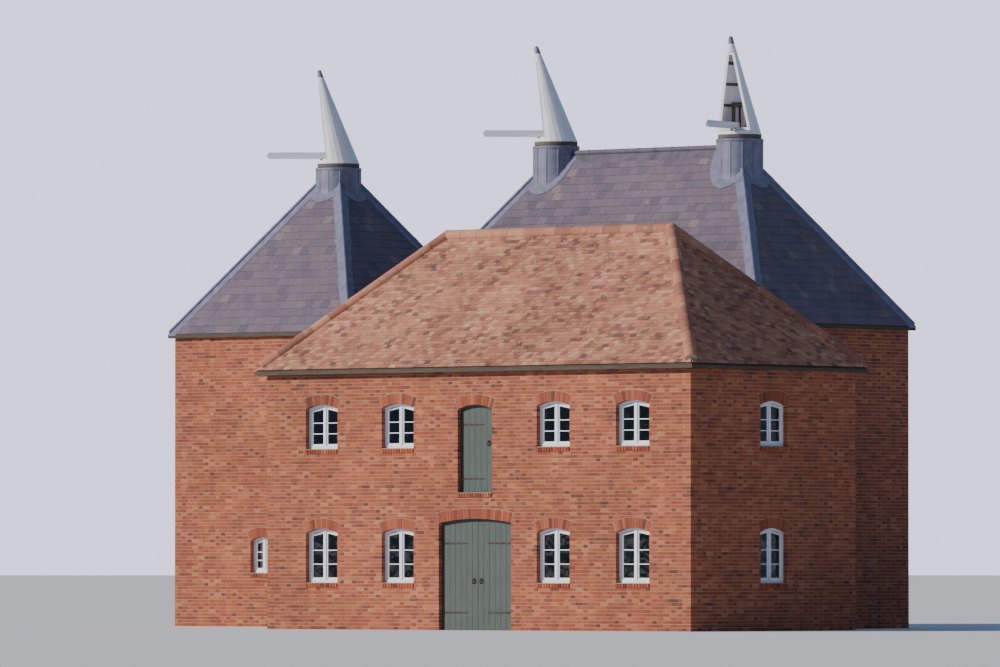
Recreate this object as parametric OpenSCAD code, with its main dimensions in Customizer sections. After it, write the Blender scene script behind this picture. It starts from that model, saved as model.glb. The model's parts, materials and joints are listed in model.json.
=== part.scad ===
// Oast house: a single square hop kiln and a double kiln in one row, with a two-storey stowage in front.
// X runs along the row of kilns, -Y is the front, and the origin is at the middle of the base.
// The slate roofs rise to round curbs, and a white cowl turns on an iron spindle over each of them.

/* [Kilns] */
// Outer side of each square kiln
kiln_w = 5200; // [4400:50:6000]
// Height of the kiln walls
kiln_wall_h = 6600; // [6400:50:7600]
// Slope of the kiln roofs in degrees
kiln_pitch = 55; // [50:0.5:58]
// How far the kiln roofs reach past the walls
kiln_eaves = 120; // [60:10:200]
// Height of the drying floors above the ground
drying_floor_h = 3600; // [3000:50:4200]

/* [Walls and floors] */
// Thickness of the brick walls
wall_t = 340; // [230:5:400]
// Thickness of the brick floors on the ground
ground_floor_t = 60; // [40:5:120]
// Thickness of the boarded upper floors with their joists
upper_floor_t = 220; // [160:10:300]

/* [Roofs] */
// Thickness of the rafters with the battens and the covering
roof_t = 140; // [110:5:170]
// Height of the covering above the outer edge of the wall
roof_heel = 100; // [70:5:130]
// Depth of the plumb board under the lowest course
fascia_h = 60; // [30:5:120]
// Width of the lead on each side of a kiln hip, along the eaves
hip_lead_w = 230; // [120:10:320]
// Thickness of the lead and its boarding
hip_lead_t = 20; // [10:1:40]
// Radius of the wooden roll under the lead of a hip
hip_roll_r = 40; // [25:1:60]
// Width of the tiles on each side of the kiln ridge
ridge_wing_w = 150; // [100:5:220]
// Radius of the round back of the kiln ridge tiles
ridge_roll_r = 60; // [40:1:90]
// Radius of the half-round clay tiles on the stowage hips and ridge
clay_ridge_r = 120; // [90:5:150]
// Hairline gap between a roof's covering and the lead, curb or tiles that lie on it
seat_gap = 0.2; // [0.1:0.1:0.5]

/* [Passage] */
// Gap between the single kiln and the double kiln
passage_w = 1200; // [1100:50:2400]
// How far the passage walls stand back from the kiln faces
passage_set = 500; // [200:50:1200]
// Thickness of the passage walls
passage_wall_t = 230; // [215:5:340]
// Height of the passage roof at its low front edge
passage_h = 2600; // [2400:50:3200]
// Slope of the passage roof in degrees
passage_pitch = 12; // [8:1:20]

/* [Stowage] */
// Length of the stowage
stowage_l = 11700; // [11000:50:13000]
// Depth of the stowage
stowage_d = 5500; // [5000:50:5800]
// How far the left end of the stowage stands in from the double kiln's left wall
stowage_set = 1300; // [600:50:1650]
// Height of the stowage walls
stowage_wall_h = 5600; // [5500:50:6100]
// Slope of the stowage roof in degrees
stowage_pitch = 45; // [40:0.5:47]
// How far the stowage roof reaches past the walls
stowage_eaves = 200; // [120:10:300]
// Height of the loft floor above the ground
loft_h = 2900; // [2750:50:3000]
// Width of the lead gutter between the stowage roof and the kiln walls
gutter_w = 220; // [150:10:300]
// Height that the gutter's lead stands up against the kiln walls
gutter_upstand = 150; // [80:10:200]
// Thickness of the lead of the gutter
gutter_t = 12; // [5:1:20]
// Clearance between the gutter's lead and the kiln's eaves above it
gutter_gap = 5; // [2:1:20]

/* [Windows and doors] */
// Width of the stowage windows
window_w = 900; // [700:10:1100]
// Height of the ground floor windows
ground_window_h = 1150; // [900:10:1300]
// Height of the ground floor window sills above the ground
ground_sill_h = 1000; // [800:10:1100]
// Height of the loft windows
loft_window_h = 950; // [700:10:1100]
// Height of the loft window sills above the loft floor
loft_sill_h = 950; // [800:10:1100]
// Width of the kiln windows
kiln_window_w = 650; // [500:10:900]
// Height of the kiln windows
kiln_window_h = 800; // [600:10:1100]
// Distance between neighbouring windows of the stowage front
window_step = 2150; // [1900:10:2300]
// Rise of the brick arches over the windows and doors
arch_rise = 90; // [60:5:140]
// Width of the window and door frames
frame_w = 60; // [45:1:80]
// Depth of the window and door frames
frame_t = 80; // [60:1:110]
// How far the frames stand back from the wall's face
reveal = 105; // [60:5:115]
// Thickness of the window glass
glass_t = 6; // [4:1:10]
// Width of the wide front door
wide_door_w = 2000; // [1600:10:2400]
// Height of the wide front door
wide_door_h = 2350; // [2100:10:2450]
// Width of the other doors
door_w = 950; // [850:10:1000]
// Height of the other doors
door_h = 2050; // [1900:10:2200]
// Height of the doorways from the loft onto the drying floors
drying_door_h = 1750; // [1600:10:1800]
// Height of the loading door of the loft
loading_door_h = 1850; // [1600:10:2000]
// Thickness of the plank doors
door_t = 45; // [35:1:60]
// Gap round each door leaf
door_gap = 4; // [2:1:8]
// Width of the rebate that a door leaf closes against
door_stop = 20; // [12:1:30]

/* [Curbs] */
// Outer radius of the round curb under each cowl
curb_r = 500; // [450:5:600]
// Thickness of the curb's boarding
curb_t = 60; // [40:5:80]
// Height of the single kiln's curb against the roof's point
curb_rise_single = -100; // [-200:10:100]
// Height of the double kiln's curbs against the ridge
curb_rise_double = 200; // [150:10:400]
// Width of the oak beam that carries the spindle
beam_w = 100; // [80:5:140]
// Depth of the oak beam
beam_h = 150; // [100:5:200]
// Radius of the iron spindle
spindle_r = 25; // [20:1:35]

/* [Cowls] */
// Outer radius of the cowl's boards at the foot
cowl_r = 475; // [440:5:490]
// Height of a cowl
cowl_h = 2200; // [2000:20:2400]
// Radius of the cowl's tip
cowl_tip_r = 35; // [30:1:60]
// Number of tapered boards round a cowl
cowl_boards = 24; // [20:2:32]
// Thickness of the cowl's boards
board_t = 20; // [15:1:25]
// Running gap between the curb and the cowl's ring
cowl_gap = 15; // [8:1:30]
// Height of the ring at the cowl's foot
ring_h = 80; // [60:5:110]
// Height of the boarding left below the mouth
mouth_sill = 90; // [60:5:100]
// Distance of the mouth's foot from the cowl's axis
mouth_x = 250; // [200:10:300]
// Lean of the mouth in degrees
mouth_lean = 6; // [5:0.5:8]
// Height of the mouth along its lean
mouth_h = 1700; // [1400:20:1750]
// Height of the head bearing above the cowl's foot
bearing_z = 700; // [600:10:720]
// Clearance round the spindle in its bearings
bearing_gap = 3; // [1:0.5:5]
// Clearance between the spindle's top and the head bearing
bearing_seat = 0.3; // [0.2:0.1:1]
// Length of the finger beyond the mouth
finger_l = 1150; // [900:10:1300]
// Depth of the finger board
finger_d = 150; // [100:5:180]
// Thickness of the finger board
finger_t = 30; // [20:1:40]
// Height of the finger's lower edge above the cowl's foot
finger_z = 195; // [190:5:260]
// Direction of the cowls of the two left kilns, from +X towards +Y
heading_left = 220; // [0:1:360]
// Direction of the right kiln's cowl, from +X towards +Y
heading_right = 282; // [0:1:360]

/* [Hidden] */

brick = "#b4623f";
slate = "#7d7588";
clay_tile = "#b5694a";
lead = "#9b9aa8";
oak = "#8a6a48";
white_paint = "#f1f1ee";
iron = "#3c3d42";
tar_paint = "#4a5a52";
glass = "#9fb4bd";

// Half the plan size of the whole house, from end to end and from front to back
double_l = 2 * kiln_w;
total_x = kiln_eaves + kiln_w + passage_w + stowage_set + stowage_l + stowage_eaves;
total_y = kiln_eaves + kiln_w + stowage_d + stowage_eaves;

// Centres of the kilns and of the stowage
kiln_y = total_y / 2 - kiln_eaves - kiln_w / 2;
single_x = -total_x / 2 + kiln_eaves + kiln_w / 2;
double_x = single_x + kiln_w + passage_w + kiln_w / 2;
kiln_x = [single_x, double_x - kiln_w / 2, double_x + kiln_w / 2];
kiln_front = kiln_y - kiln_w / 2;
double_left = double_x - kiln_w;
double_right = double_x + kiln_w;
stowage_x = double_left + stowage_set + stowage_l / 2;
stowage_y = kiln_front - stowage_d / 2;
stowage_right = stowage_x + stowage_l / 2;

single_c = [single_x, kiln_y];
double_c = [double_x, kiln_y];
stowage_c = [stowage_x, stowage_y];

// Overlap that lets a cutting shape pass its faces
cut = 10;

function roof_apex(depth, wall_h, pitch) = wall_h + roof_heel + depth / 2 * tan(pitch);
kiln_apex = roof_apex(kiln_w, kiln_wall_h, kiln_pitch);
stowage_apex = roof_apex(stowage_d, stowage_wall_h, stowage_pitch);

throat_r = curb_r - curb_t;
curb_top = [kiln_apex + curb_rise_single, kiln_apex + curb_rise_double, kiln_apex + curb_rise_double];
heading = [heading_left, heading_left, heading_right];
hub_r = 90;
post_w = 60;
head_bar_h = 90;
socket_h = 40;

// Windows of each wall as [distance from the wall's middle, sill height, width, height]
kiln_sill_h = ground_sill_h + 200;
loft_sill = loft_h + loft_sill_h;
function kiln_window(x) = [x, kiln_sill_h, kiln_window_w, kiln_window_h];
function ground_window(x) = [x, ground_sill_h, window_w, ground_window_h];
function loft_window(x) = [x, loft_sill, window_w, loft_window_h];
front_steps = [-2 * window_step, -window_step, window_step, 2 * window_step];
back_wall_l = stowage_right - double_right + wall_t;
windows = [
    ["front", single_c, kiln_w, kiln_w, [kiln_window(0)]],
    ["left", single_c, kiln_w, kiln_w, [kiln_window(0)]],
    ["back", single_c, kiln_w, kiln_w, [kiln_window(0)]],
    ["back", double_c, double_l, kiln_w, [kiln_window(-kiln_w / 2), kiln_window(kiln_w / 2)]],
    ["right", double_c, double_l, kiln_w, [kiln_window(0)]],
    ["front", stowage_c, stowage_l, stowage_d,
        [for (x = front_steps) each [ground_window(x), loft_window(x)]]],
    ["left", stowage_c, stowage_l, stowage_d, [ground_window(0), loft_window(0)]],
    ["right", stowage_c, stowage_l, stowage_d, [ground_window(0), loft_window(0)]],
    ["back", stowage_c, stowage_l, stowage_d,
        [ground_window(wall_t - stowage_l / 2 + back_wall_l / 2),
         loft_window(wall_t - stowage_l / 2 + back_wall_l / 2)]]
];
wide_door = [0, 0, wide_door_w, wide_door_h];
loading_door = [0, loft_h, door_w, loading_door_h];
plain_door = [0, 0, door_w, door_h];
kiln_doors = [for (x = [-kiln_w / 2, kiln_w / 2])
    each [[x, 0, door_w, door_h], [x, drying_floor_h, door_w, drying_door_h]]];

// Places a wall's own frame: x along the wall, y into the wall from its outer face
module on_wall(side, centre, size_x, size_y) {
    turn = side == "front" ? 0 : side == "right" ? 90 : side == "back" ? 180 : 270;
    out = side == "front" || side == "back" ? size_y / 2 : size_x / 2;
    translate([centre[0], centre[1], 0]) rotate(turn) translate([0, -out, 0]) children();
}

// Radius of the arc over an opening of width w
function arch_r(w) = (w * w / 4 + arch_rise * arch_rise) / (2 * arch_rise);

// Outline with a straight foot and a flat arc of radius r at its head
module arch(w, h, r) {
    intersection() {
        translate([-w / 2, 0]) square([w, h]);
        union() {
            translate([-w / 2, 0]) square([w, h - r + sqrt(r * r - w * w / 4)]);
            translate([0, h - r]) circle(r, $fn = 180);
        }
    }
}

// Upright plate with the arch's outline, set back by y from the wall's face
module arch_plate(o, inset, y, t) {
    r = arch_r(o[2]) - inset;
    translate([o[0], y + t, o[1] + inset]) rotate([90, 0, 0])
        linear_extrude(t) arch(o[2] - 2 * inset, o[3] - 2 * inset, r);
}

// One brick wall with its openings, drawn in the wall's own frame
module wall(l, h, openings = [], t = wall_t) {
    color(brick) difference() {
        translate([-l / 2, 0, 0]) cube([l, t, h]);
        for (o = openings) arch_plate(o, 0, -cut, t + 2 * cut);
    }
}

function side_windows(side, centre) = [for (w = windows) if (w[0] == side && w[1] == centre) each w[4]];

module kiln_wall(side, centre, size_x, extra = []) {
    l = side == "front" || side == "back" ? size_x : kiln_w - 2 * wall_t;
    on_wall(side, centre, size_x, kiln_w) wall(l, kiln_wall_h, concat(side_windows(side, centre), extra));
}

// Block of the walls, which the foot of each rafter is notched over
module wall_block(centre, size_x, size_y, h) {
    translate([centre[0] - size_x / 2, centre[1] - size_y / 2, -cut]) cube([size_x, size_y, h + cut]);
}

// One slope that falls towards -Y from a ridge of length run, within the outline given by the children
module slope_slab(apex, pitch, depth, run, low, t) {
    intersection() {
        translate([0, 0, apex]) rotate([pitch, 0, 0])
            translate([-depth - run, -2 * depth, -t]) cube([2 * (depth + run), 2 * depth, t]);
        translate([0, 0, low]) linear_extrude(apex - low + cut) children();
    }
}

// Plan of a front slope: a trapezium, or a triangle where the ridge has no length
module slope_plan(run, reach) {
    ridge = run > 0 ? [[-run / 2, 0], [run / 2, 0]] : [[0, 0]];
    polygon(concat(ridge, [[run / 2 + reach, -reach], [-run / 2 - reach, -reach]]));
}

// Plan of the strip beside the left hip of a front slope
module hip_strip_plan(run, reach, w) {
    inner = run > 0 ? [w - run / 2, 0] : [0, -w];
    polygon([[-run / 2, 0], inner, [w - run / 2 - reach, -reach], [-run / 2 - reach, -reach]]);
}

// Turns a slope that falls to the front onto the named side of a hipped roof
module on_side(side, centre, run) {
    turn = side == "front" ? 0 : side == "right" ? 90 : side == "back" ? 180 : 270;
    shift = side == "right" ? run / 2 : side == "left" ? -run / 2 : 0;
    translate([centre[0] + shift, centre[1], 0]) rotate(turn) children();
}

function side_run(side, run) = side == "front" || side == "back" ? run : 0;

function eaves_low(wall_h, pitch, eaves) = wall_h + roof_heel - eaves * tan(pitch) - fascia_h;

// One slope of a hipped roof, before it is notched over its walls
module roof_side(side, centre, run, depth, wall_h, pitch, eaves, raise = 0, t = roof_t) {
    r = side_run(side, run);
    apex = roof_apex(depth, wall_h, pitch) + raise / cos(pitch);
    on_side(side, centre, run)
        slope_slab(apex, pitch, depth, r, eaves_low(wall_h, pitch, eaves), t)
            slope_plan(r, depth / 2 + eaves);
}

SIDES = ["front", "right", "back", "left"];

// The body under a kiln roof's covering, which cuts the foot of a curb
module under_kiln_roof(centre, run) {
    half = kiln_w / 2;
    apex = kiln_apex + seat_gap / cos(kiln_pitch);
    low = apex - half * tan(kiln_pitch);
    ridge = run > 0 ? [[run / 2, apex], [-run / 2, apex]] : [[0, apex]];
    translate([centre[0], centre[1], 0]) intersection() {
        rotate([90, 0, 90]) linear_extrude(2 * (kiln_w + run), center = true)
            polygon([[-half, low], [half, low], [0, apex]]);
        rotate([90, 0, 0]) linear_extrude(2 * kiln_w, center = true)
            polygon(concat([[-run / 2 - half, low], [run / 2 + half, low]], ridge));
    }
}

// The space over a roof's covering, between the heights low and high above it
module over_roof(centre, run, depth, wall_h, pitch, eaves, low, high) {
    for (side = SIDES) roof_side(side, centre, run, depth, wall_h, pitch, eaves, high, high - low);
}

// Upright shafts over the middle of each kiln
module throats(r) {
    for (x = kiln_x)
        translate([x, kiln_y, kiln_wall_h]) cylinder(r = r, h = kiln_apex + curb_r - kiln_wall_h, $fn = 64);
}

module kiln_roof(side, centre, run) {
    color(slate) difference() {
        roof_side(side, centre, run, kiln_w, kiln_wall_h, kiln_pitch, kiln_eaves);
        wall_block(centre, kiln_w + run, kiln_w, kiln_wall_h);
        throats(throat_r);
    }
}

// Bar with the given number of sides down each hip of a roof, from the ridge's ends to the eaves
module hip_bars(centre, run, reach, apex, pitch, r, sides) {
    fall = acos(-tan(pitch) / sqrt(2 + tan(pitch) * tan(pitch)));
    for (sx = [-1, 1], sy = [-1, 1])
        translate([centre[0] + sx * run / 2, centre[1], apex]) rotate([0, fall, atan2(sy, sx)])
            cylinder(r = r, h = reach * sqrt(2 + tan(pitch) * tan(pitch)), $fn = sides);
}

// Lead over the hips of a kiln roof, with the roll along each hip
module kiln_hips(centre, run) {
    reach = kiln_w / 2 + kiln_eaves;
    apex = kiln_apex + (hip_lead_t + seat_gap) / cos(kiln_pitch);
    color(lead) difference() {
        union() {
            for (side = SIDES, m = [0, 1]) on_side(side, centre, run) mirror([m, 0, 0])
                slope_slab(apex, kiln_pitch, kiln_w, side_run(side, run),
                    eaves_low(kiln_wall_h, kiln_pitch, kiln_eaves), hip_lead_t)
                    hip_strip_plan(side_run(side, run), reach, hip_lead_w);
            intersection() {
                hip_bars(centre, run, reach - hip_roll_r, apex, kiln_pitch, hip_roll_r, 32);
                over_roof(centre, run, kiln_w, kiln_wall_h, kiln_pitch, kiln_eaves,
                    seat_gap + hip_lead_t / 2, seat_gap + 2 * hip_roll_r);
            }
        }
        throats(curb_r);
    }
}

// Round curb of boards under lead, with its foot cut to the slopes that it stands on
module curb(i, centre, run) {
    foot = kiln_apex - curb_r * tan(kiln_pitch) - cut;
    color(lead) difference() {
        translate([kiln_x[i], kiln_y, foot]) cylinder(r = curb_r, h = curb_top[i] - foot, $fn = 64);
        translate([kiln_x[i], kiln_y, foot - cut])
            cylinder(r = throat_r, h = curb_top[i] - foot + 2 * cut, $fn = 64);
        under_kiln_roof(centre, run);
    }
}

// Boarded floor of a kiln, between the inner faces of its walls
module drying_floor(x0, x1) {
    inner_y = kiln_front + wall_t;
    translate([x0, inner_y, drying_floor_h - upper_floor_t])
        cube([x1 - x0, kiln_w - 2 * wall_t, upper_floor_t]);
}

module single_kiln_front_wall() kiln_wall("front", single_c, kiln_w);
module single_kiln_back_wall() kiln_wall("back", single_c, kiln_w);
module single_kiln_left_wall() kiln_wall("left", single_c, kiln_w);
module single_kiln_right_wall() kiln_wall("right", single_c, kiln_w, [plain_door]);
module single_kiln_roof_front() kiln_roof("front", single_c, 0);
module single_kiln_roof_back() kiln_roof("back", single_c, 0);
module single_kiln_roof_left() kiln_roof("left", single_c, 0);
module single_kiln_roof_right() kiln_roof("right", single_c, 0);
module single_kiln_hips() kiln_hips(single_c, 0);
module single_kiln_curb() curb(0, single_c, 0);

module single_kiln_drying_floor() {
    color(oak) drying_floor(single_x - kiln_w / 2 + wall_t, single_x + kiln_w / 2 - wall_t);
}

module double_kiln_front_wall() kiln_wall("front", double_c, double_l, kiln_doors);
module double_kiln_back_wall() kiln_wall("back", double_c, double_l);
module double_kiln_left_wall() kiln_wall("left", double_c, double_l, [plain_door]);
module double_kiln_right_wall() kiln_wall("right", double_c, double_l);

module double_kiln_party_wall() {
    color(brick) translate([double_x - wall_t / 2, kiln_front + wall_t, 0])
        cube([wall_t, kiln_w - 2 * wall_t, kiln_wall_h]);
}

module double_kiln_roof_front() kiln_roof("front", double_c, kiln_w);
module double_kiln_roof_back() kiln_roof("back", double_c, kiln_w);
module double_kiln_roof_left() kiln_roof("left", double_c, kiln_w);
module double_kiln_roof_right() kiln_roof("right", double_c, kiln_w);
module double_kiln_hips() kiln_hips(double_c, kiln_w);

// Winged ridge tiles between the two curbs
module double_kiln_ridge() {
    apex = kiln_apex + (hip_lead_t + seat_gap) / cos(kiln_pitch);
    half = kiln_w / 2 - hip_lead_w;
    color("#5d5a66") difference() {
        union() {
            for (side = ["front", "back"]) on_side(side, double_c, kiln_w)
                slope_slab(apex, kiln_pitch, kiln_w, kiln_w, kiln_wall_h, hip_lead_t)
                    translate([-half, -ridge_wing_w]) square([2 * half, ridge_wing_w]);
            intersection() {
                translate([double_x - half, kiln_y, apex]) rotate([0, 90, 0])
                    cylinder(r = ridge_roll_r, h = 2 * half, $fn = 32);
                over_roof(double_c, kiln_w, kiln_w, kiln_wall_h, kiln_pitch, kiln_eaves,
                    seat_gap + hip_lead_t / 2, seat_gap + 2 * ridge_roll_r);
            }
        }
        throats(curb_r);
    }
}

module double_kiln_curbs() for (i = [1, 2]) curb(i, double_c, kiln_w);

module double_kiln_drying_floors() {
    color(oak) {
        drying_floor(double_left + wall_t, double_x - wall_t / 2);
        drying_floor(double_x + wall_t / 2, double_right - wall_t);
    }
}

// Passage between the kilns: two low walls that the slope of its slate roof cuts
passage_x = double_left - passage_w / 2;
passage_front = kiln_front + passage_set;
passage_back = kiln_y + kiln_w / 2 - passage_set;
passage_c = [passage_x, (passage_front + passage_back) / 2];
passage_l = passage_back - passage_front;

// The passage roof, t thick above its underside, and w wide
module passage_slope(t, eaves, w) {
    translate([passage_x - w / 2, passage_front, passage_h]) rotate([passage_pitch, 0, 0])
        translate([0, -eaves, 0]) cube([w, passage_l / cos(passage_pitch) + 2 * eaves, t]);
}

module passage_wall(side, openings) {
    difference() {
        on_wall(side, passage_c, passage_w, passage_l)
            wall(passage_w, 2 * passage_h, openings, passage_wall_t);
        passage_slope(3 * passage_h, passage_h, 2 * passage_w);
    }
}

module passage_front_wall() passage_wall("front", [plain_door]);
module passage_back_wall() passage_wall("back", []);
module passage_roof() color(slate) passage_slope(roof_t, kiln_eaves, passage_w - 2 * seat_gap);

module stowage_front_wall() {
    on_wall("front", stowage_c, stowage_l, stowage_d)
        wall(stowage_l, stowage_wall_h, concat(side_windows("front", stowage_c), [wide_door, loading_door]));
}

// The end walls stand between the front wall and the wall or kiln behind
module stowage_left_wall() {
    color(brick) difference() {
        translate([stowage_x - stowage_l / 2, kiln_front - stowage_d + wall_t, 0])
            cube([wall_t, stowage_d - wall_t, stowage_wall_h]);
        on_wall("left", stowage_c, stowage_l, stowage_d)
            for (o = side_windows("left", stowage_c)) arch_plate(o, 0, -cut, wall_t + 2 * cut);
    }
}

module stowage_right_wall() {
    on_wall("right", stowage_c, stowage_l, stowage_d)
        wall(stowage_d - 2 * wall_t, stowage_wall_h, side_windows("right", stowage_c));
}

module stowage_back_wall() {
    color(brick) difference() {
        translate([double_right - wall_t, kiln_front - wall_t, 0])
            cube([back_wall_l, wall_t, stowage_wall_h]);
        on_wall("back", stowage_c, stowage_l, stowage_d)
            for (o = side_windows("back", stowage_c)) arch_plate(o, 0, -cut, wall_t + 2 * cut);
    }
}

module stowage_roof(side) {
    color(clay_tile) difference() {
        roof_side(side, stowage_c, stowage_l - stowage_d, stowage_d, stowage_wall_h, stowage_pitch, stowage_eaves);
        wall_block(stowage_c, stowage_l, stowage_d, stowage_wall_h);
        wall_block(double_c, double_l, kiln_w, kiln_wall_h);
        roof_side("front", double_c, kiln_w, kiln_w, kiln_wall_h, kiln_pitch, kiln_eaves);
    }
}

module stowage_roof_front() stowage_roof("front");
module stowage_roof_back() stowage_roof("back");
module stowage_roof_left() stowage_roof("left");
module stowage_roof_right() stowage_roof("right");

// Half-round clay tiles along the ridge and down the hips
module stowage_ridge_tiles() {
    run = stowage_l - stowage_d;
    reach = stowage_d / 2 + stowage_eaves - clay_ridge_r;
    color(clay_tile) difference() {
        intersection() {
            over_roof(stowage_c, run, stowage_d, stowage_wall_h, stowage_pitch, stowage_eaves,
                seat_gap, seat_gap + clay_ridge_r);
            union() {
                translate([stowage_x - run / 2, stowage_y, stowage_apex]) rotate([0, 90, 0])
                    cylinder(r = clay_ridge_r, h = run, $fn = 12);
                hip_bars(stowage_c, run, reach, stowage_apex, stowage_pitch, clay_ridge_r, 12);
            }
        }
        wall_block(double_c, double_l, kiln_w, kiln_wall_h);
    }
}

// Lead gutter in the valley between the stowage roof and the double kiln's front wall, below the kiln's eaves
module valley_gutter() {
    z0 = stowage_wall_h + roof_heel + seat_gap / cos(stowage_pitch);
    sole = gutter_w * tan(stowage_pitch);
    start = stowage_x - stowage_l / 2 + gutter_w + clay_ridge_r / cos(45) + cut;
    room = eaves_low(kiln_wall_h, kiln_pitch, kiln_eaves) - gutter_gap - z0;
    color(lead) translate([start, kiln_front, z0]) rotate([90, 0, 90]) linear_extrude(double_right - start)
        intersection() {
            polygon([[0, 0], [0, sole + gutter_upstand], [-gutter_t, sole + gutter_upstand],
                [-gutter_t, sole], [-gutter_w, sole]]);
            translate([-gutter_w - cut, -cut]) square([gutter_w + 2 * cut, room + cut]);
        }
}

// Floor plate between the stowage walls, from height z0 up
module stowage_floor(z0, t) {
    difference() {
        translate([stowage_x - stowage_l / 2 + wall_t, kiln_front - stowage_d + wall_t, z0])
            cube([stowage_l - 2 * wall_t, stowage_d - wall_t, t]);
        translate([double_right - wall_t, kiln_front - wall_t, z0 - cut])
            cube([back_wall_l, wall_t + cut, t + 2 * cut]);
    }
}

module loft_floor() color(oak) stowage_floor(loft_h - upper_floor_t, upper_floor_t);

// Brick floors on the ground: the stowage, the three kilns and the passage
module ground_floors() {
    color(brick) {
        stowage_floor(0, ground_floor_t);
        for (x = [[single_x - kiln_w / 2 + wall_t, single_x + kiln_w / 2 - wall_t],
                  [double_left + wall_t, double_x - wall_t / 2],
                  [double_x + wall_t / 2, double_right - wall_t]])
            translate([x[0], kiln_front + wall_t, 0])
                cube([x[1] - x[0], kiln_w - 2 * wall_t, ground_floor_t]);
        translate([passage_x - passage_w / 2, passage_front + passage_wall_t, 0])
            cube([passage_w, passage_l - 2 * passage_wall_t, ground_floor_t]);
    }
}

// Frame of a window with an upright bar in its middle
module window_frame(o) {
    difference() {
        arch_plate(o, 0, reveal, frame_t);
        arch_plate(o, frame_w, reveal - cut, frame_t + 2 * cut);
    }
    intersection() {
        arch_plate(o, frame_w / 2, reveal, frame_t);
        translate([o[0] - frame_w / 2, reveal, o[1]]) cube([frame_w, frame_t, o[3]]);
    }
}

module window_panes(o) {
    difference() {
        arch_plate(o, frame_w, reveal + (frame_t - glass_t) / 2, glass_t);
        translate([o[0] - frame_w / 2, reveal, o[1]]) cube([frame_w, frame_t, o[3]]);
    }
}

module window_frames() {
    color(white_paint) for (w = windows) on_wall(w[0], w[1], w[2], w[3]) for (o = w[4]) window_frame(o);
}

module window_glass() {
    color(glass) for (w = windows) on_wall(w[0], w[1], w[2], w[3]) for (o = w[4]) window_panes(o);
}

// Clear way inside a door frame, from depth y0 to depth y1, which runs on below the door's foot
module door_way(o, inset, y0, y1) {
    translate([o[0], y1, o[1] - inset]) rotate([90, 0, 0]) linear_extrude(y1 - y0)
        arch(o[2] - 2 * inset, o[3], arch_r(o[2]) - inset);
}

// Frame of a door: jambs and head with a rebate for the leaf, open at the foot
module door_frame(o) {
    difference() {
        arch_plate(o, 0, reveal, frame_t);
        door_way(o, frame_w, reveal - cut, reveal + door_t);
        door_way(o, frame_w + door_stop, reveal, reveal + frame_t + cut);
    }
}

// Door leaf inside its frame, in one or two leaves
module door_leaf(o, leaves) {
    inset = frame_w + door_gap;
    r = arch_r(o[2]) - inset;
    difference() {
        translate([o[0], reveal + door_t, o[1] + door_gap]) rotate([90, 0, 0]) linear_extrude(door_t)
            arch(o[2] - 2 * inset, o[3] - inset - door_gap, r);
        if (leaves == 2)
            translate([o[0] - door_gap / 2, 0, o[1] - cut]) cube([door_gap, wall_t, o[3] + cut]);
    }
}

module door_frames() {
    color(tar_paint) {
        on_wall("front", stowage_c, stowage_l, stowage_d) {
            door_frame(wide_door);
            door_frame(loading_door);
        }
        on_wall("front", passage_c, passage_w, passage_l) door_frame(plain_door);
    }
}

module doors() {
    color(tar_paint) {
        on_wall("front", stowage_c, stowage_l, stowage_d) {
            door_leaf(wide_door, 2);
            door_leaf(loading_door, 1);
        }
        on_wall("front", passage_c, passage_w, passage_l) door_leaf(plain_door, 1);
    }
}

// Oak beam across each curb, with the iron spindle that the cowl turns on
module spindles() {
    for (i = [0, 1, 2]) translate([kiln_x[i], kiln_y, curb_top[i]]) {
        color(oak) intersection() {
            translate([0, 0, -beam_h - post_w]) cylinder(r = throat_r, h = beam_h, $fn = 64);
            translate([-curb_r, -beam_w / 2, -beam_h - post_w]) cube([2 * curb_r, beam_w, beam_h]);
        }
        color(iron) translate([0, 0, -post_w - beam_h / 2])
            cylinder(r = spindle_r, $fn = 32,
                h = post_w + beam_h / 2 + cowl_gap + bearing_z + socket_h - bearing_seat);
    }
}

module at_cowl(i) {
    translate([kiln_x[i], kiln_y, curb_top[i] + cowl_gap]) rotate(heading[i]) children();
}

// Leaning cone of tapered boards from height z0 up, whose front line stands upright.
// It shrinks towards the point where the lines of its boards meet, which lies p out from the axis.
module cowl_cone(inset, z0, h) {
    shrink = (cowl_tip_r - inset) / (cowl_r - inset);
    p = (cowl_r - cowl_tip_r) / (1 - shrink);
    translate([p, 0, z0]) linear_extrude(h, scale = shrink)
        translate([-p, 0]) circle(cowl_r - inset, $fn = cowl_boards);
}

module cowl_shell(i) {
    color(white_paint) at_cowl(i) difference() {
        cowl_cone(0, ring_h, cowl_h - ring_h);
        cowl_cone(board_t, ring_h - board_t, cowl_h - ring_h - board_t);
        translate([mouth_x, 0, ring_h + mouth_sill]) rotate([0, mouth_lean, 0])
            translate([0, -cowl_r, 0]) cube([2 * cowl_r, 2 * cowl_r, mouth_h]);
    }
}

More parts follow.
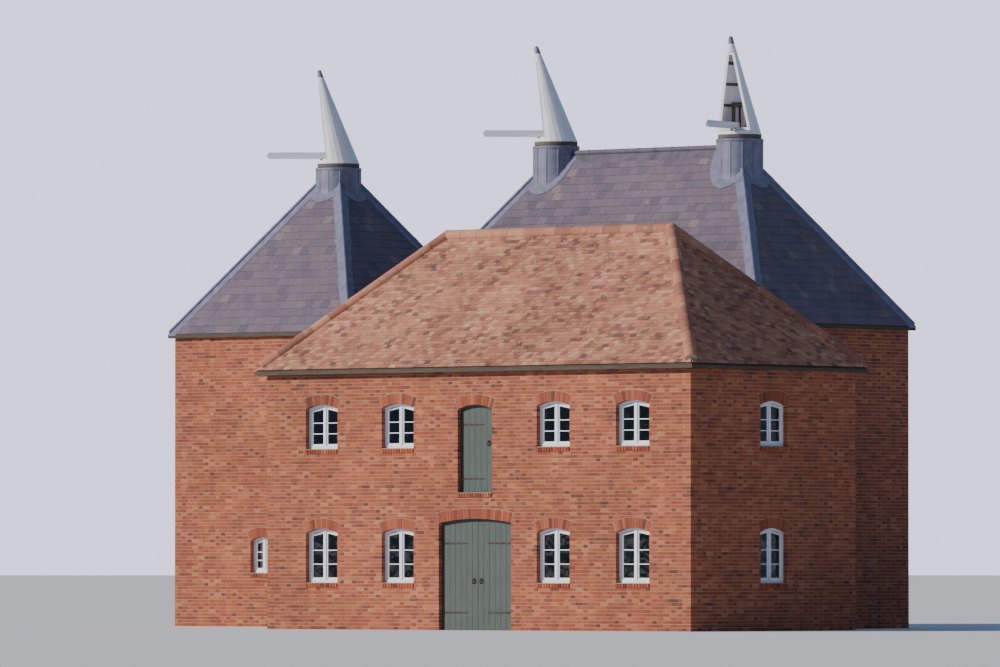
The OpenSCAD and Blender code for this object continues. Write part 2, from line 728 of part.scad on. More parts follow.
// Ring, cross arms and head bearing that carry the boards and turn on the spindle
module cowl_frame(i) {
    bore_r = spindle_r + bearing_gap;
    arm_x = 85;
    color(oak) at_cowl(i) difference() {
        union() {
            difference() {
                cylinder(r = cowl_r, h = ring_h, $fn = 64);
                translate([0, 0, -cut]) cylinder(r = cowl_r - ring_h, h = ring_h + 2 * cut, $fn = 64);
            }
            for (turn = [0, 90]) rotate(turn) translate([-cowl_r + ring_h / 2, -post_w / 2, 0])
                cube([2 * cowl_r - ring_h, post_w, ring_h]);
            cylinder(r = hub_r, h = ring_h, $fn = 48);
            for (s = [-1, 1]) translate([-post_w / 2, s * 2.5 * post_w - post_w / 2, ring_h / 2])
                cube([post_w, post_w, bearing_z]);
            translate([-post_w / 2, -3 * post_w, bearing_z]) cube([post_w, 6 * post_w, head_bar_h]);
            for (x = [arm_x, cowl_r - 1.5 * ring_h]) translate([x, -finger_t / 2, ring_h / 2])
                cube([post_w, finger_t, finger_z - ring_h / 2]);
        }
        translate([0, 0, -cut]) cylinder(r = bore_r, h = ring_h + 2 * cut, $fn = 32);
        translate([0, 0, bearing_z - cut]) cylinder(r = bore_r, h = socket_h + cut, $fn = 32);
    }
}

// Vane board that keeps the mouth turned away from the wind
module finger(i) {
    color(white_paint) at_cowl(i) translate([0, finger_t / 2, finger_z]) rotate([90, 0, 0])
        linear_extrude(finger_t) polygon([
            [spindle_r + cut, 0], [cowl_r + finger_l - finger_d / 3, 0], [cowl_r + finger_l, finger_d / 2],
            [cowl_r + finger_l - finger_d / 3, finger_d], [spindle_r + cut, finger_d]
        ]);
}

module cowl_a() cowl_shell(0);
module cowl_a_frame() cowl_frame(0);
module finger_a() finger(0);
module cowl_b() cowl_shell(1);
module cowl_b_frame() cowl_frame(1);
module finger_b() finger(1);
module cowl_c() cowl_shell(2);
module cowl_c_frame() cowl_frame(2);
module finger_c() finger(2);

single_kiln_front_wall();
single_kiln_back_wall();
single_kiln_left_wall();
single_kiln_right_wall();
single_kiln_roof_front();
single_kiln_roof_back();
single_kiln_roof_left();
single_kiln_roof_right();
single_kiln_hips();
single_kiln_curb();
single_kiln_drying_floor();
double_kiln_front_wall();
double_kiln_back_wall();
double_kiln_left_wall();
double_kiln_right_wall();
double_kiln_party_wall();
double_kiln_roof_front();
double_kiln_roof_back();
double_kiln_roof_left();
double_kiln_roof_right();
double_kiln_hips();
double_kiln_ridge();
double_kiln_curbs();
double_kiln_drying_floors();
passage_front_wall();
passage_back_wall();
passage_roof();
stowage_front_wall();
stowage_left_wall();
stowage_right_wall();
stowage_back_wall();
stowage_roof_front();
stowage_roof_back();
stowage_roof_left();
stowage_roof_right();
stowage_ridge_tiles();
valley_gutter();
loft_floor();
ground_floors();
window_frames();
window_glass();
door_frames();
doors();
spindles();
cowl_a();
cowl_a_frame();
finger_a();
cowl_b();
cowl_b_frame();
finger_b();
cowl_c();
cowl_c_frame();
finger_c();
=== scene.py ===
# %% [markdown]
# # Dressing an oast house
# An oast house dries hops. Square brick kilns stand under steep slate roofs, and a white cowl turns over
# each of them to draw the hot air out. The stowage beside them, where the hops were pressed and kept, has a
# roof of clay tiles. The construction comes in as a fixed frame, and this lesson adds what the eye reads on
# it: bricks, slates, tiles, boards and lead, each laid at its true size.

import json
import math
import random

import bmesh
import bpy
from mathutils import Euler, Matrix, Vector


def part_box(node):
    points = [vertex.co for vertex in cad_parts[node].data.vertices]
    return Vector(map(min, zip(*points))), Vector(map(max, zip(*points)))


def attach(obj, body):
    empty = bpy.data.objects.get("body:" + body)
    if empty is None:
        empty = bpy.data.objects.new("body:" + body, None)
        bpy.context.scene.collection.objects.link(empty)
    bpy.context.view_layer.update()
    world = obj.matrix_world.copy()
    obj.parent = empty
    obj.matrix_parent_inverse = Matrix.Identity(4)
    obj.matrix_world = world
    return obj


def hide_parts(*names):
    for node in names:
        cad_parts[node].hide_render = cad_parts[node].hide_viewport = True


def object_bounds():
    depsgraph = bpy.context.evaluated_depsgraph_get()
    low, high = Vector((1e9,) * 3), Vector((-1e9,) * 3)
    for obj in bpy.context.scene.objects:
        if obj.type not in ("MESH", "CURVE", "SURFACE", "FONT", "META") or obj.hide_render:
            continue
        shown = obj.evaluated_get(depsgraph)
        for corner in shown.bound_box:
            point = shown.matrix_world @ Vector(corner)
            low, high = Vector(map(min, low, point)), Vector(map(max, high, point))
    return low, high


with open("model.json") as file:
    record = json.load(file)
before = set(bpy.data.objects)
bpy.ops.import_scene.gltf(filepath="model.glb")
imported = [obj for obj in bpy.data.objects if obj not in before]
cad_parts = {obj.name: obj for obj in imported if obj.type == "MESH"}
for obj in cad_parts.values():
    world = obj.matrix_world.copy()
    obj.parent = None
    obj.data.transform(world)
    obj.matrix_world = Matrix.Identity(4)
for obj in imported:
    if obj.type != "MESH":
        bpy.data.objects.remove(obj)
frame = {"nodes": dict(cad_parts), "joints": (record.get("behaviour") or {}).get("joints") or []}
nodes = frame["nodes"]
cad_low, cad_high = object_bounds()
print(f"frame: {len(nodes)} nodes,", " x ".join(f"{side:.2f}" for side in cad_high - cad_low), "m")

# %% [markdown]
# ## The camera
# The house is seen from a long way off, at about eye height. A near camera would spread the walls; a long
# lens far away keeps the uprights parallel, as the photograph does. The lens is worked out from the corners
# of the frame's box, so that the house fills the picture whatever its size.

# %% Camera
VIEW_AZIMUTH = math.radians(40.3)
VIEW_DISTANCE = 195.0
EYE_HEIGHT = 1.4
PICTURE_ASPECT = 1000 / 667
PICTURE_FILL = 1.03
NEAREST, FARTHEST = 1.0, 4000.0

centre = (cad_low + cad_high) / 2
eye = centre + VIEW_DISTANCE * Vector((math.sin(VIEW_AZIMUTH), -math.cos(VIEW_AZIMUTH), 0))
eye.z = EYE_HEIGHT
aim = (centre - eye).to_track_quat("-Z", "Y")
corners = [Vector((x, y, z)) for x in (cad_low.x, cad_high.x)
           for y in (cad_low.y, cad_high.y) for z in (cad_low.z, cad_high.z)]
seen = [aim.inverted() @ (corner - eye) for corner in corners]
spread = max(max(abs(p.x / p.z), abs(p.y / p.z) * PICTURE_ASPECT) for p in seen)

lens = bpy.data.cameras.new("camera")
lens.lens = lens.sensor_width / 2 / spread * PICTURE_FILL
lens.clip_start, lens.clip_end = NEAREST, FARTHEST
camera = bpy.data.objects.new("camera", lens)
camera.location = eye
camera.rotation_mode = "QUATERNION"
camera.rotation_quaternion = aim
bpy.context.scene.collection.objects.link(camera)
bpy.context.scene.camera = camera
print(f"camera: {lens.lens:.0f} mm lens, {VIEW_DISTANCE:.0f} m away")

# %% [markdown]
# ## The light
# Low daylight comes from the left, so the front slopes are bright and the right-hand slopes fall into deep
# shade. One wide, soft key lamp does that, and a dim sky fills the shade with a little blue. Behind the
# house stands a paler paper, which the camera sees and which lights nothing.

# %% Key lamp and sky
LIGHT_FROM = Vector((-0.52, -0.78, 0.42))
KEY_STRENGTH = 4.6
KEY_SOFTNESS = math.radians(7)
KEY_COLOUR = (1.0, 0.94, 0.86)
SKY_COLOUR = (0.40, 0.62, 1.0, 1.0)
SKY_STRENGTH = 0.32
PAPER_COLOUR = (1.38, 1.36, 1.80, 1.0)

key = bpy.data.lights.new("key", "SUN")
key.energy = KEY_STRENGTH
key.angle = KEY_SOFTNESS
key.color = KEY_COLOUR
key_lamp = bpy.data.objects.new("key", key)
key_lamp.rotation_mode = "QUATERNION"
key_lamp.rotation_quaternion = (-LIGHT_FROM).to_track_quat("-Z", "Y")
bpy.context.scene.collection.objects.link(key_lamp)

sky = bpy.data.worlds.new("sky")
sky.use_nodes = True
fill = sky.node_tree.nodes["Background"]
fill.inputs["Color"].default_value = SKY_COLOUR
fill.inputs["Strength"].default_value = SKY_STRENGTH
paper = sky.node_tree.nodes.new("ShaderNodeBackground")
paper.inputs["Color"].default_value = PAPER_COLOUR
chosen = sky.node_tree.nodes.new("ShaderNodeMixShader")
seen_ray = sky.node_tree.nodes.new("ShaderNodeLightPath")
for output, socket in ((seen_ray.outputs["Is Camera Ray"], chosen.inputs[0]),
                       (fill.outputs[0], chosen.inputs[1]),
                       (paper.outputs[0], chosen.inputs[2]),
                       (chosen.outputs[0], sky.node_tree.nodes["World Output"].inputs["Surface"])):
    sky.node_tree.links.new(output, socket)
bpy.context.scene.world = sky
print(f"light: a lamp of {KEY_STRENGTH} and a sky of {SKY_STRENGTH}")

# %% [markdown]
# ## From a bmesh to a piece
# Every new shape is made in a bmesh. `new_object` turns it into an object at the origin, with its place in
# its mesh. `soften` shades the round shapes smoothly and keeps the real edges crisp. `add_piece` hangs the
# finished object on a body of the frame, so that it moves with it. The floor is the first shape that is
# made, and it isn't part of the house.

# %% Helpers for pieces
CRISP_EDGE = math.radians(32)


def new_object(bm, name, material=None):
    """Turns a bmesh into an object at the origin."""
    mesh = bpy.data.meshes.new(name)
    bm.to_mesh(mesh)
    bm.free()
    made = bpy.data.objects.new(name, mesh)
    bpy.context.scene.collection.objects.link(made)
    if material is not None:
        mesh.materials.append(material)
    return made


def soften(bm):
    """Smooth shading, with every edge sharper than a facet of a round shape kept crisp."""
    for face in bm.faces:
        face.smooth = True
    for edge in bm.edges:
        edge.smooth = edge.calc_face_angle(math.pi) < CRISP_EDGE


def add_piece(bm, name, material, slot, body="house"):
    """A finished piece: it rides on a body and takes the given finish. The slot is not used."""
    piece = new_object(bm, name, material)
    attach(piece, body)
    triangles = sum(len(face.vertices) - 2 for face in piece.data.polygons)
    print(f"{name}: {triangles} triangles")
    return piece


def new_material(name, roughness):
    """A material with nodes, whose shader has the given roughness."""
    material = bpy.data.materials.new(name)
    material.use_nodes = True
    material.node_tree.nodes["Principled BSDF"].inputs["Roughness"].default_value = roughness
    return material


# %% The floor
FLOOR_RADIUS = 900.0
FLOOR_SIDES = 96
FLOOR_COLOUR = (0.80, 0.80, 0.79, 1.0)
FLOOR_ROUGHNESS = 0.9

floor_bm = bmesh.new()
bmesh.ops.create_circle(floor_bm, cap_ends=True, segments=FLOOR_SIDES, radius=FLOOR_RADIUS)
floor_paint = new_material("floor_paint", FLOOR_ROUGHNESS)
floor_paint.node_tree.nodes["Principled BSDF"].inputs["Base Color"].default_value = FLOOR_COLOUR
floor = new_object(floor_bm, "floor", floor_paint)
print(f"floor: {FLOOR_RADIUS:.0f} m in radius")

# %% [markdown]
# ## Finishes
# Every finish is a small tree of shader nodes. A few helpers keep the trees short: `put` adds a node and
# fills its sockets, `cloud` is a soft random pattern, `tones` finds a number's place among a few colours,
# `dim` and `patches` lay dirt and growth over a colour, and `rub` sets the surface's colour and relief.
# Patterns read Object coordinates, so they are measured in metres on the house itself. Bricks, slates,
# tiles and boards also carry a number of their own, called tint, which makes each differ from the next.

# %% Nodes and patterns


def put(material, kind, sockets=None, **settings):
    """Adds a node. A socket is given a value or the output of another node."""
    node = material.node_tree.nodes.new("ShaderNode" + kind)
    for name, value in settings.items():
        setattr(node, name, value)
    for name, value in (sockets or {}).items():
        if isinstance(value, bpy.types.NodeSocket):
            material.node_tree.links.new(value, node.inputs[name])
        else:
            node.inputs[name].default_value = value
    return node


def tint(material):
    """The number that each brick, slate, tile or board carries."""
    return put(material, "Attribute", attribute_name="tint").outputs["Fac"]


def place(material, scale=(1, 1, 1), own=False, turn=0.0):
    """Object coordinates, turned about z and stretched. With own, each copy reads a part of its own."""
    spot = put(material, "TexCoord").outputs["Object"]
    if turn:
        spot = put(material, "Mapping", {"Vector": spot, "Rotation": (0, 0, -turn)}).outputs["Vector"]
    sockets = {"Vector": spot, "Scale": scale}
    if own:
        sockets["Location"] = tint(material)
    return put(material, "Mapping", sockets).outputs["Vector"]


def cloud(material, scale, detail=3.0, stretch=(1, 1, 1), own=False, turn=0.0):
    """Soft random pattern from 0 to 1, with scale patches to the metre."""
    spot = place(material, stretch, own, turn)
    sockets = {"Vector": spot, "Scale": scale, "Detail": detail, "Roughness": 0.6}
    return put(material, "TexNoise", sockets).outputs["Fac"]


# %% Colours


def colour(red, green, blue):
    """A screen colour from 0 to 255 as the linear colour that a shader needs."""
    def linear(value):
        value /= 255
        return value / 12.92 if value <= 0.04045 else ((value + 0.055) / 1.055) ** 2.4
    return (linear(red), linear(green), linear(blue), 1.0)


def ramp(material, value, stops):
    """Colours along a value: stops are (position, linear colour)."""
    node = put(material, "ValToRGB", {"Fac": value})
    elements = node.color_ramp.elements
    elements[0].position, elements[0].color = stops[0]
    elements[1].position, elements[1].color = stops[-1]
    for position, shade in stops[1:-1]:
        elements.new(position).color = shade
    return node.outputs["Color"]


def mix(material, mode, factor, first, second):
    """Lays the second colour over the first."""
    sockets = {0: factor, 6: first, 7: second}
    return put(material, "Mix", sockets, data_type="RGBA", blend_type=mode).outputs[2]


# %% Tones, dirt and relief


def tones(material, value, *stops):
    """Screen colours along a value. A stop is (position, red, green, blue)."""
    return ramp(material, value, [(position, colour(*levels)) for position, *levels in stops])


def dim(material, base, share, value, *stops):
    """Multiplies a colour along a value. A stop is (position, red, green, blue), and 1 changes nothing."""
    levels = ramp(material, value, [(position, (*levels, 1)) for position, *levels in stops])
    return mix(material, "MULTIPLY", share, base, levels)


def patches(material, base, value, low, high, share, shade):
    """Lays patches over a colour: none below low, and the given share of the new colour above high."""
    cover = ramp(material, value, [(low, (0, 0, 0, 1)), (high, (share, share, share, 1))])
    return mix(material, "MIX", cover, base, colour(*shade))


def laid_flat(material, length, width, joint, first, second, between):
    """Boards or bricks in a floor, in two shades, with the joint between them. Returns colour and joint."""
    sockets = {"Vector": place(material), "Scale": 1.0, "Mortar Size": joint, "Mortar Smooth": 0.3,
               "Brick Width": length, "Row Height": width,
               "Color1": colour(*first), "Color2": colour(*second), "Mortar": colour(*between)}
    node = put(material, "TexBrick", sockets, offset=0.37, offset_frequency=2)
    return node.outputs["Color"], node.outputs["Fac"]


def rub(material, base, height, depth):
    """Sets the colour of the surface and a relief of the given depth in metres."""
    shader = material.node_tree.nodes["Principled BSDF"]
    material.node_tree.links.new(base, shader.inputs["Base Color"])
    relief = put(material, "Bump", {"Height": height, "Distance": depth, "Strength": 1.0})
    material.node_tree.links.new(relief.outputs["Normal"], shader.inputs["Normal"])


# %% [markdown]
# ### Brick and mortar
# Old clay bricks come out of one firing in many reds: pale where they stood far from the fire, plum where
# they stood close. The tones hold those reds, a fine cloud gives each face its sand, and a slow cloud lets
# soot and damp drift over whole walls. The mortar is a pale lime with coarse sand. The floors are the same
# bricks, laid flat.

# %% Brick and mortar
BRICK_LENGTH = 0.215
BRICK_WIDTH = 0.1025
BRICK_HEIGHT = 0.065
JOINT = 0.010


def brick_finish():
    material = new_material("brick", 0.92)
    fired = tones(material, tint(material), (0.00, 196, 122, 84), (0.30, 181, 98, 66),
                  (0.60, 163, 82, 58), (0.82, 142, 72, 55), (1.00, 108, 64, 57))
    sand = cloud(material, 55)
    sanded = dim(material, fired, 0.9, sand, (0.30, 0.72, 0.70, 0.68), (0.70, 1.12, 1.12, 1.12))
    sooty = dim(material, sanded, 0.8, cloud(material, 0.45, 5), (0.38, 0.70, 0.69, 0.68), (0.62, 1, 1, 1))
    rub(material, sooty, cloud(material, 160, 4), 0.0025)
    return material


def mortar_finish():
    material = new_material("mortar", 0.95)
    lime = tones(material, cloud(material, 30, 5), (0.25, 150, 138, 120), (0.75, 196, 184, 164))
    sooty = dim(material, lime, 0.8, cloud(material, 0.5, 5), (0.35, 0.74, 0.73, 0.71), (0.65, 1, 1, 1))
    rub(material, sooty, cloud(material, 220, 4), 0.002)
    return material


def paving_finish():
    material = new_material("paving", 0.9)
    bricks, joint = laid_flat(material, BRICK_LENGTH + JOINT, BRICK_WIDTH + JOINT, JOINT / 2,
                              (150, 88, 64), (122, 70, 56), (140, 132, 118))
    dusty = dim(material, bricks, 0.8, cloud(material, 1.5, 6), (0.35, 0.72, 0.70, 0.68), (0.65, 1, 1, 1))
    rub(material, dusty, joint, -0.004)
    return material


brick_clay = brick_finish()
lime_mortar = mortar_finish()
brick_paving = paving_finish()
print("brick and mortar ready")

# %% [markdown]
# ### Slate, clay tile, lead and ridge tile
# Slate splits into smooth sheets, so it has a faint sheen, and a heather tint runs from grey to purple.
# Plain clay tiles vary more, and moss and lichen settle on them in patches: a slow cloud, cut off sharply,
# says where. Lead turns a dull pale grey with darker runs down it. The winged ridge tiles are of a darker,
# harder clay than the others.

# %% Roof finishes


def slate_finish():
    material = new_material("slate", 0.62)
    split = tones(material, tint(material), (0.00, 95, 87, 102), (0.35, 109, 97, 110),
                  (0.65, 118, 102, 115), (0.88, 103, 86, 104), (1.00, 131, 117, 119))
    veins = cloud(material, 22, 6, own=True)
    veined = dim(material, split, 0.9, veins, (0.32, 0.80, 0.80, 0.82), (0.68, 1.08, 1.07, 1.06))
    sooty = dim(material, veined, 0.8, cloud(material, 0.7, 4), (0.36, 0.78, 0.77, 0.80), (0.64, 1, 1, 1))
    lichened = patches(material, sooty, cloud(material, 9, 5), 0.66, 0.72, 0.55, (168, 166, 146))
    rub(material, lichened, cloud(material, 70, 6), 0.003)
    return material


def clay_tile_finish():
    material = new_material("clay_tile", 0.9)
    fired = tones(material, tint(material), (0.00, 210, 158, 130), (0.30, 199, 140, 112),
                  (0.60, 184, 121, 98), (0.85, 158, 101, 86), (1.00, 126, 88, 80))
    sand = cloud(material, 60)
    sanded = dim(material, fired, 0.9, sand, (0.30, 0.74, 0.72, 0.70), (0.70, 1.10, 1.10, 1.10))
    sooty = dim(material, sanded, 0.85, cloud(material, 0.6, 5), (0.35, 0.68, 0.67, 0.66), (0.62, 1, 1, 1))
    lichened = patches(material, sooty, cloud(material, 7, 6), 0.60, 0.66, 0.6, (178, 172, 140))
    mossy = patches(material, lichened, cloud(material, 2.2, 7), 0.62, 0.70, 0.75, (84, 88, 52))
    rub(material, mossy, cloud(material, 130, 5), 0.003)
    return material


def lead_finish():
    material = new_material("lead", 0.48)
    dull = tones(material, cloud(material, 6, 6), (0.30, 106, 107, 131), (0.70, 133, 134, 159))
    runs = cloud(material, 14, 3, (1, 1, 0.12))
    streaked = dim(material, dull, 0.8, runs, (0.35, 0.82, 0.82, 0.84), (0.65, 1, 1, 1))
    rub(material, streaked, cloud(material, 9, 3), 0.006)
    return material


def ridge_tile_finish():
    material = new_material("ridge_tile", 0.7)
    fired = tones(material, cloud(material, 4, 5), (0.30, 78, 73, 84), (0.70, 104, 97, 109))
    rub(material, fired, cloud(material, 90, 4), 0.003)
    return material


slate_stone = slate_finish()
clay_tile = clay_tile_finish()
sheet_lead = lead_finish()
ridge_clay = ridge_tile_finish()
print("roof finishes ready")

# %% [markdown]
# ### Timber, paint, iron and glass
# Wood grain is a cloud stretched along the board. On the cowls it lies under white paint, which has greyed
# in long runs. The doors have a green-grey paint over the same grain. The boards of a floor are a brick
# pattern with long, narrow bricks. Window glass is thin and clear, and the rooms behind it are dark.

# %% Timber and paint
ALONG_LEVEL = (0.05, 0.05, 1.0)
ALONG_POST = (1.0, 1.0, 0.05)
FLOOR_BOARD_LENGTH = 3.2


def timber_finish(name, pale, dark, roughness, stretch, depth, posts=None):
    """Grain along the axes in which stretch is small. Between the two heights in posts it runs upright."""
    material = new_material(name, roughness)
    grain = cloud(material, 60, 6, stretch, own=True)
    if posts:
        height = put(material, "SeparateXYZ", {"Vector": place(material)}).outputs["Z"]
        span = {0: height, 1: (posts[0] + posts[1]) / 2, 2: (posts[1] - posts[0]) / 2}
        upright = put(material, "Math", span, operation="COMPARE").outputs[0]
        grain = mix(material, "MIX", upright, grain, cloud(material, 60, 6, ALONG_POST))
    wood = tones(material, grain, (0.30, *dark), (0.70, *pale))
    aged = dim(material, wood, 0.7, cloud(material, 1.6, 4), (0.35, 0.80, 0.79, 0.78), (0.65, 1, 1, 1))
    rub(material, aged, grain, depth)
    return material


def white_paint_finish(name, stretch, turn=0.0):
    """White paint. Its grey runs and the grain under it follow the axis in which stretch is small."""
    material = new_material(name, 0.5)
    coat = tones(material, tint(material), (0.0, 236, 236, 246), (1.0, 248, 247, 252))
    runs = cloud(material, 9, 5, stretch, True, turn)
    greyed = dim(material, coat, 0.8, runs, (0.34, 0.85, 0.86, 0.89), (0.58, 1, 1, 1))
    rub(material, greyed, cloud(material, 40, 6, stretch, True, turn), 0.0025)
    return material


def floor_board_finish(name, width, gap):
    """Sawn boards side by side, with gaps between them."""
    material = new_material(name, 0.8)
    boards, gaps = laid_flat(material, FLOOR_BOARD_LENGTH, width, gap,
                             (134, 112, 88), (108, 90, 72), (24, 20, 17))
    grain = cloud(material, 60, 6, (0.05, 1, 1))
    worn = dim(material, boards, 0.8, grain, (0.3, 0.72, 0.70, 0.68), (0.7, 1, 1, 1))
    rub(material, worn, gaps, -0.006)
    return material


OAK = ((118, 108, 98), (74, 65, 58), 0.8, ALONG_LEVEL, 0.003)
oak_beams = timber_finish("oak", *OAK)
roof_timber = timber_finish("roof_timber", (96, 82, 70), (62, 52, 46), 0.85, ALONG_LEVEL, 0.003)
door_paint = timber_finish("door_paint", (72, 86, 80), (52, 64, 60), 0.55, ALONG_POST, 0.002)
white_boards = white_paint_finish("white_boards", (1, 1, 0.08))
slatted_floor = floor_board_finish("slatted_floor", 0.075, 0.012)
boarded_floor = floor_board_finish("boarded_floor", 0.18, 0.003)
print("timber and paint ready")

# %% Iron and glass


def iron_finish():
    material = new_material("iron", 0.55)
    material.node_tree.nodes["Principled BSDF"].inputs["Metallic"].default_value = 0.6
    skin = tones(material, cloud(material, 18, 5), (0.40, 46, 46, 50), (0.72, 92, 66, 50))
    rub(material, skin, cloud(material, 80, 4), 0.002)
    return material


def glass_finish():
    material = new_material("glass", 0.03)
    shader = material.node_tree.nodes["Principled BSDF"]
    shader.inputs["Transmission Weight"].default_value = 1.0
    shader.inputs["IOR"].default_value = 1.46
    wave = cloud(material, 3, 2)
    rub(material, tones(material, wave, (0.3, 196, 208, 206), (0.7, 214, 224, 220)), wave, 0.004)
    return material


black_iron = iron_finish()
window_glass = glass_finish()
print("iron and glass ready")

# %% [markdown]
# ### Finishes on the frame's own nodes
# The walls of the frame become the mortar, because the bricks are laid on them later. The roof slabs get
# the timber of rafters and battens, which shows at the eaves and from below.

# %% Materials of the frame
FINISHES = [
    ("roof", roof_timber), ("hips", sheet_lead), ("gutter", sheet_lead), ("kiln_ridge", ridge_clay),
    ("ridge_tiles", lime_mortar), ("curb", sheet_lead), ("drying_floor", slatted_floor),
    ("loft_floor", boarded_floor), ("ground_floors", brick_paving), ("wall", lime_mortar),
    ("window_frames", white_boards), ("window_glass", window_glass), ("door", door_paint),
    ("spindles", black_iron), ("_frame", oak_beams), ("finger", white_boards), ("cowl", white_boards),
]
for name, node in nodes.items():
    finish = next(material for word, material in FINISHES if word in name)
    node.data.materials.clear()
    node.data.materials.append(finish)
print(f"{len(nodes)} nodes have their finish")

# %% [markdown]
# ## Laying many small things
# A house has tens of thousands of bricks, slates and tiles. Modelling each by hand is out of the question,
# and an Array modifier can't cut them at windows and hips. So one stamp is modelled for each kind, a list
# says where every copy lies, how it is turned, how large it is and what tint it has, and Geometry Nodes
# puts the copies there and makes them real mesh.

# %% Stamps and the nodes that lay them


def stamp_nodes(stamp):
    """Puts a copy of the stamp on every point, with the turn and size that the point holds."""
    group = bpy.data.node_groups.new("lay_" + stamp.name, "GeometryNodeTree")
    group.interface.new_socket("Places", in_out="INPUT", socket_type="NodeSocketGeometry")
    group.interface.new_socket("Copies", in_out="OUTPUT", socket_type="NodeSocketGeometry")
    start = group.nodes.new("NodeGroupInput")
    end = group.nodes.new("NodeGroupOutput")
    lay = group.nodes.new("GeometryNodeInstanceOnPoints")
    real = group.nodes.new("GeometryNodeRealizeInstances")
    source = group.nodes.new("GeometryNodeObjectInfo")
    source.inputs["Object"].default_value = stamp
    euler = group.nodes.new("FunctionNodeEulerToRotation")
    held = {}
    for name in ("turn", "size"):
        held[name] = group.nodes.new("GeometryNodeInputNamedAttribute")
        held[name].data_type = "FLOAT_VECTOR"
        held[name].inputs["Name"].default_value = name
    group.links.new(start.outputs[0], lay.inputs["Points"])
    group.links.new(source.outputs["Geometry"], lay.inputs["Instance"])
    group.links.new(held["turn"].outputs["Attribute"], euler.inputs[0])
    group.links.new(euler.outputs[0], lay.inputs["Rotation"])
    group.links.new(held["size"].outputs["Attribute"], lay.inputs["Scale"])
    group.links.new(lay.outputs["Instances"], real.inputs["Geometry"])
    group.links.new(real.outputs["Geometry"], end.inputs[0])
    return group


def lay_copies(stamp, places):
    """One mesh of copies of the stamp. A place is (position, turn as Euler angles, size, tint)."""
    points = bpy.data.meshes.new("places")
    points.vertices.add(len(places))
    points.vertices.foreach_set("co", [number for spot in places for number in spot[0]])
    for name, index in (("turn", 1), ("size", 2)):
        held = points.attributes.new(name, "FLOAT_VECTOR", "POINT")
        held.data.foreach_set("vector", [number for spot in places for number in spot[index]])
    points.attributes.new("tint", "FLOAT", "POINT").data.foreach_set("value", [spot[3] for spot in places])
    carrier = bpy.data.objects.new("places", points)
    bpy.context.scene.collection.objects.link(carrier)
    carrier.modifiers.new("lay", "NODES").node_group = stamp_nodes(stamp)
    graph = bpy.context.evaluated_depsgraph_get()
    laid = bpy.data.meshes.new_from_object(carrier.evaluated_get(graph))
    bpy.data.objects.remove(carrier)
    for name in ("turn", "size"):
        laid.attributes.remove(laid.attributes[name])
    return laid


# %% [markdown]
# ### Tools of the bench
# The pieces that are made one by one are mostly boxes with planed edges and round bars. `block` makes the
# one and `bar` the other, in whatever axes they are given, so a brick over an arch or a bolt in a door is
# placed as if it lay flat on the bench.

# %% Helpers for shapes


def take(bm, mesh):
    """Moves a mesh into a bmesh."""
    bm.from_mesh(mesh)
    bpy.data.meshes.remove(mesh)


def join_laid(meshes, name, material, slot):
    """One piece made of several laid meshes."""
    bm = bmesh.new()
    for mesh in meshes:
        take(bm, mesh)
    return add_piece(bm, name, material, slot)


def plane_off(bm, edges, width, segments=1):
    """Bevels edges, and returns the new faces."""
    return bmesh.ops.bevel(bm, geom=list(edges), offset=width, segments=segments, affect="EDGES",
                           profile=0.5, material=-1)["faces"]


def tint_layer(bm):
    return bm.verts.layers.float.get("tint") or bm.verts.layers.float.new("tint")


def block(bm, low, high, axes=None, value=0.5, edge=0.0):
    """A box from corner to corner in the given axes, with its tint and, if asked, a small bevel."""
    layer = tint_layer(bm)
    low, high = Vector(low), Vector(high)
    shape = Matrix.Translation((low + high) / 2) @ Matrix.Diagonal((*(high - low), 1))
    verts = bmesh.ops.create_cube(bm, size=1, matrix=(axes or Matrix()) @ shape)["verts"]
    if edge:
        made = plane_off(bm, dict.fromkeys(e for v in verts for e in v.link_edges), edge)
        verts = list(dict.fromkeys(v for f in made for v in f.verts))
    for vert in verts:
        vert[layer] = value
    return verts


def bar(bm, axes, depth, foot, head=None, segments=32):
    """A round bar along z, its middle at the origin of the given axes. With a head it is a cone."""
    return bmesh.ops.create_cone(bm, cap_ends=True, segments=segments, radius1=foot,
                                 radius2=foot if head is None else head, depth=depth, matrix=axes)["verts"]


# %% [markdown]
# ## Reading the openings
# The windows and doors are already cut through the walls. Each has a frame in it, and the frames of one
# kind are one node, so its separate islands of mesh give every opening: its width, its sill, the height
# where its arch springs and the arch's crown. Nothing has to be typed in twice.

# %% Openings from the frames


def islands(node):
    """The connected parts of a node's mesh, each as a list of points."""
    bm = bmesh.new()
    bm.from_mesh(nodes[node].data)
    bmesh.ops.remove_doubles(bm, verts=bm.verts, dist=1e-5)
    found, reached = [], set()
    for start in bm.verts:
        if start in reached:
            continue
        reached.add(start)
        ahead, points = [start], []
        while ahead:
            vert = ahead.pop()
            points.append(vert.co.copy())
            for near in (edge.other_vert(vert) for edge in vert.link_edges):
                if near not in reached:
                    reached.add(near)
                    ahead.append(near)
        found.append(points)
    bm.free()
    return found


window_islands = islands("window_frames")
door_islands = islands("door_frames")
print(f"{len(window_islands)} windows and {len(door_islands)} doorways")

# %% [markdown]
# ## Elevations
# A bricklayer thinks of one face of the building at a time. An elevation here is such a face: a frame of
# axes with x along the wall, y into it and z up, its length and height, and whether each end is an outer
# corner. Where another part of the house leans against it, a rectangle marks the bricks that nobody would
# see.

# %% A face of a building and its openings
TURNS = {"front": 0.0, "right": math.pi / 2, "back": math.pi, "left": -math.pi / 2}
FRAME_DEPTHS = (0.02, 0.3)


def box_of(points, axes):
    """Lowest and highest corner of points, seen from the given axes."""
    inverse = axes.inverted()
    columns = list(zip(*(inverse @ point for point in points)))
    return Vector(map(min, columns)), Vector(map(max, columns))


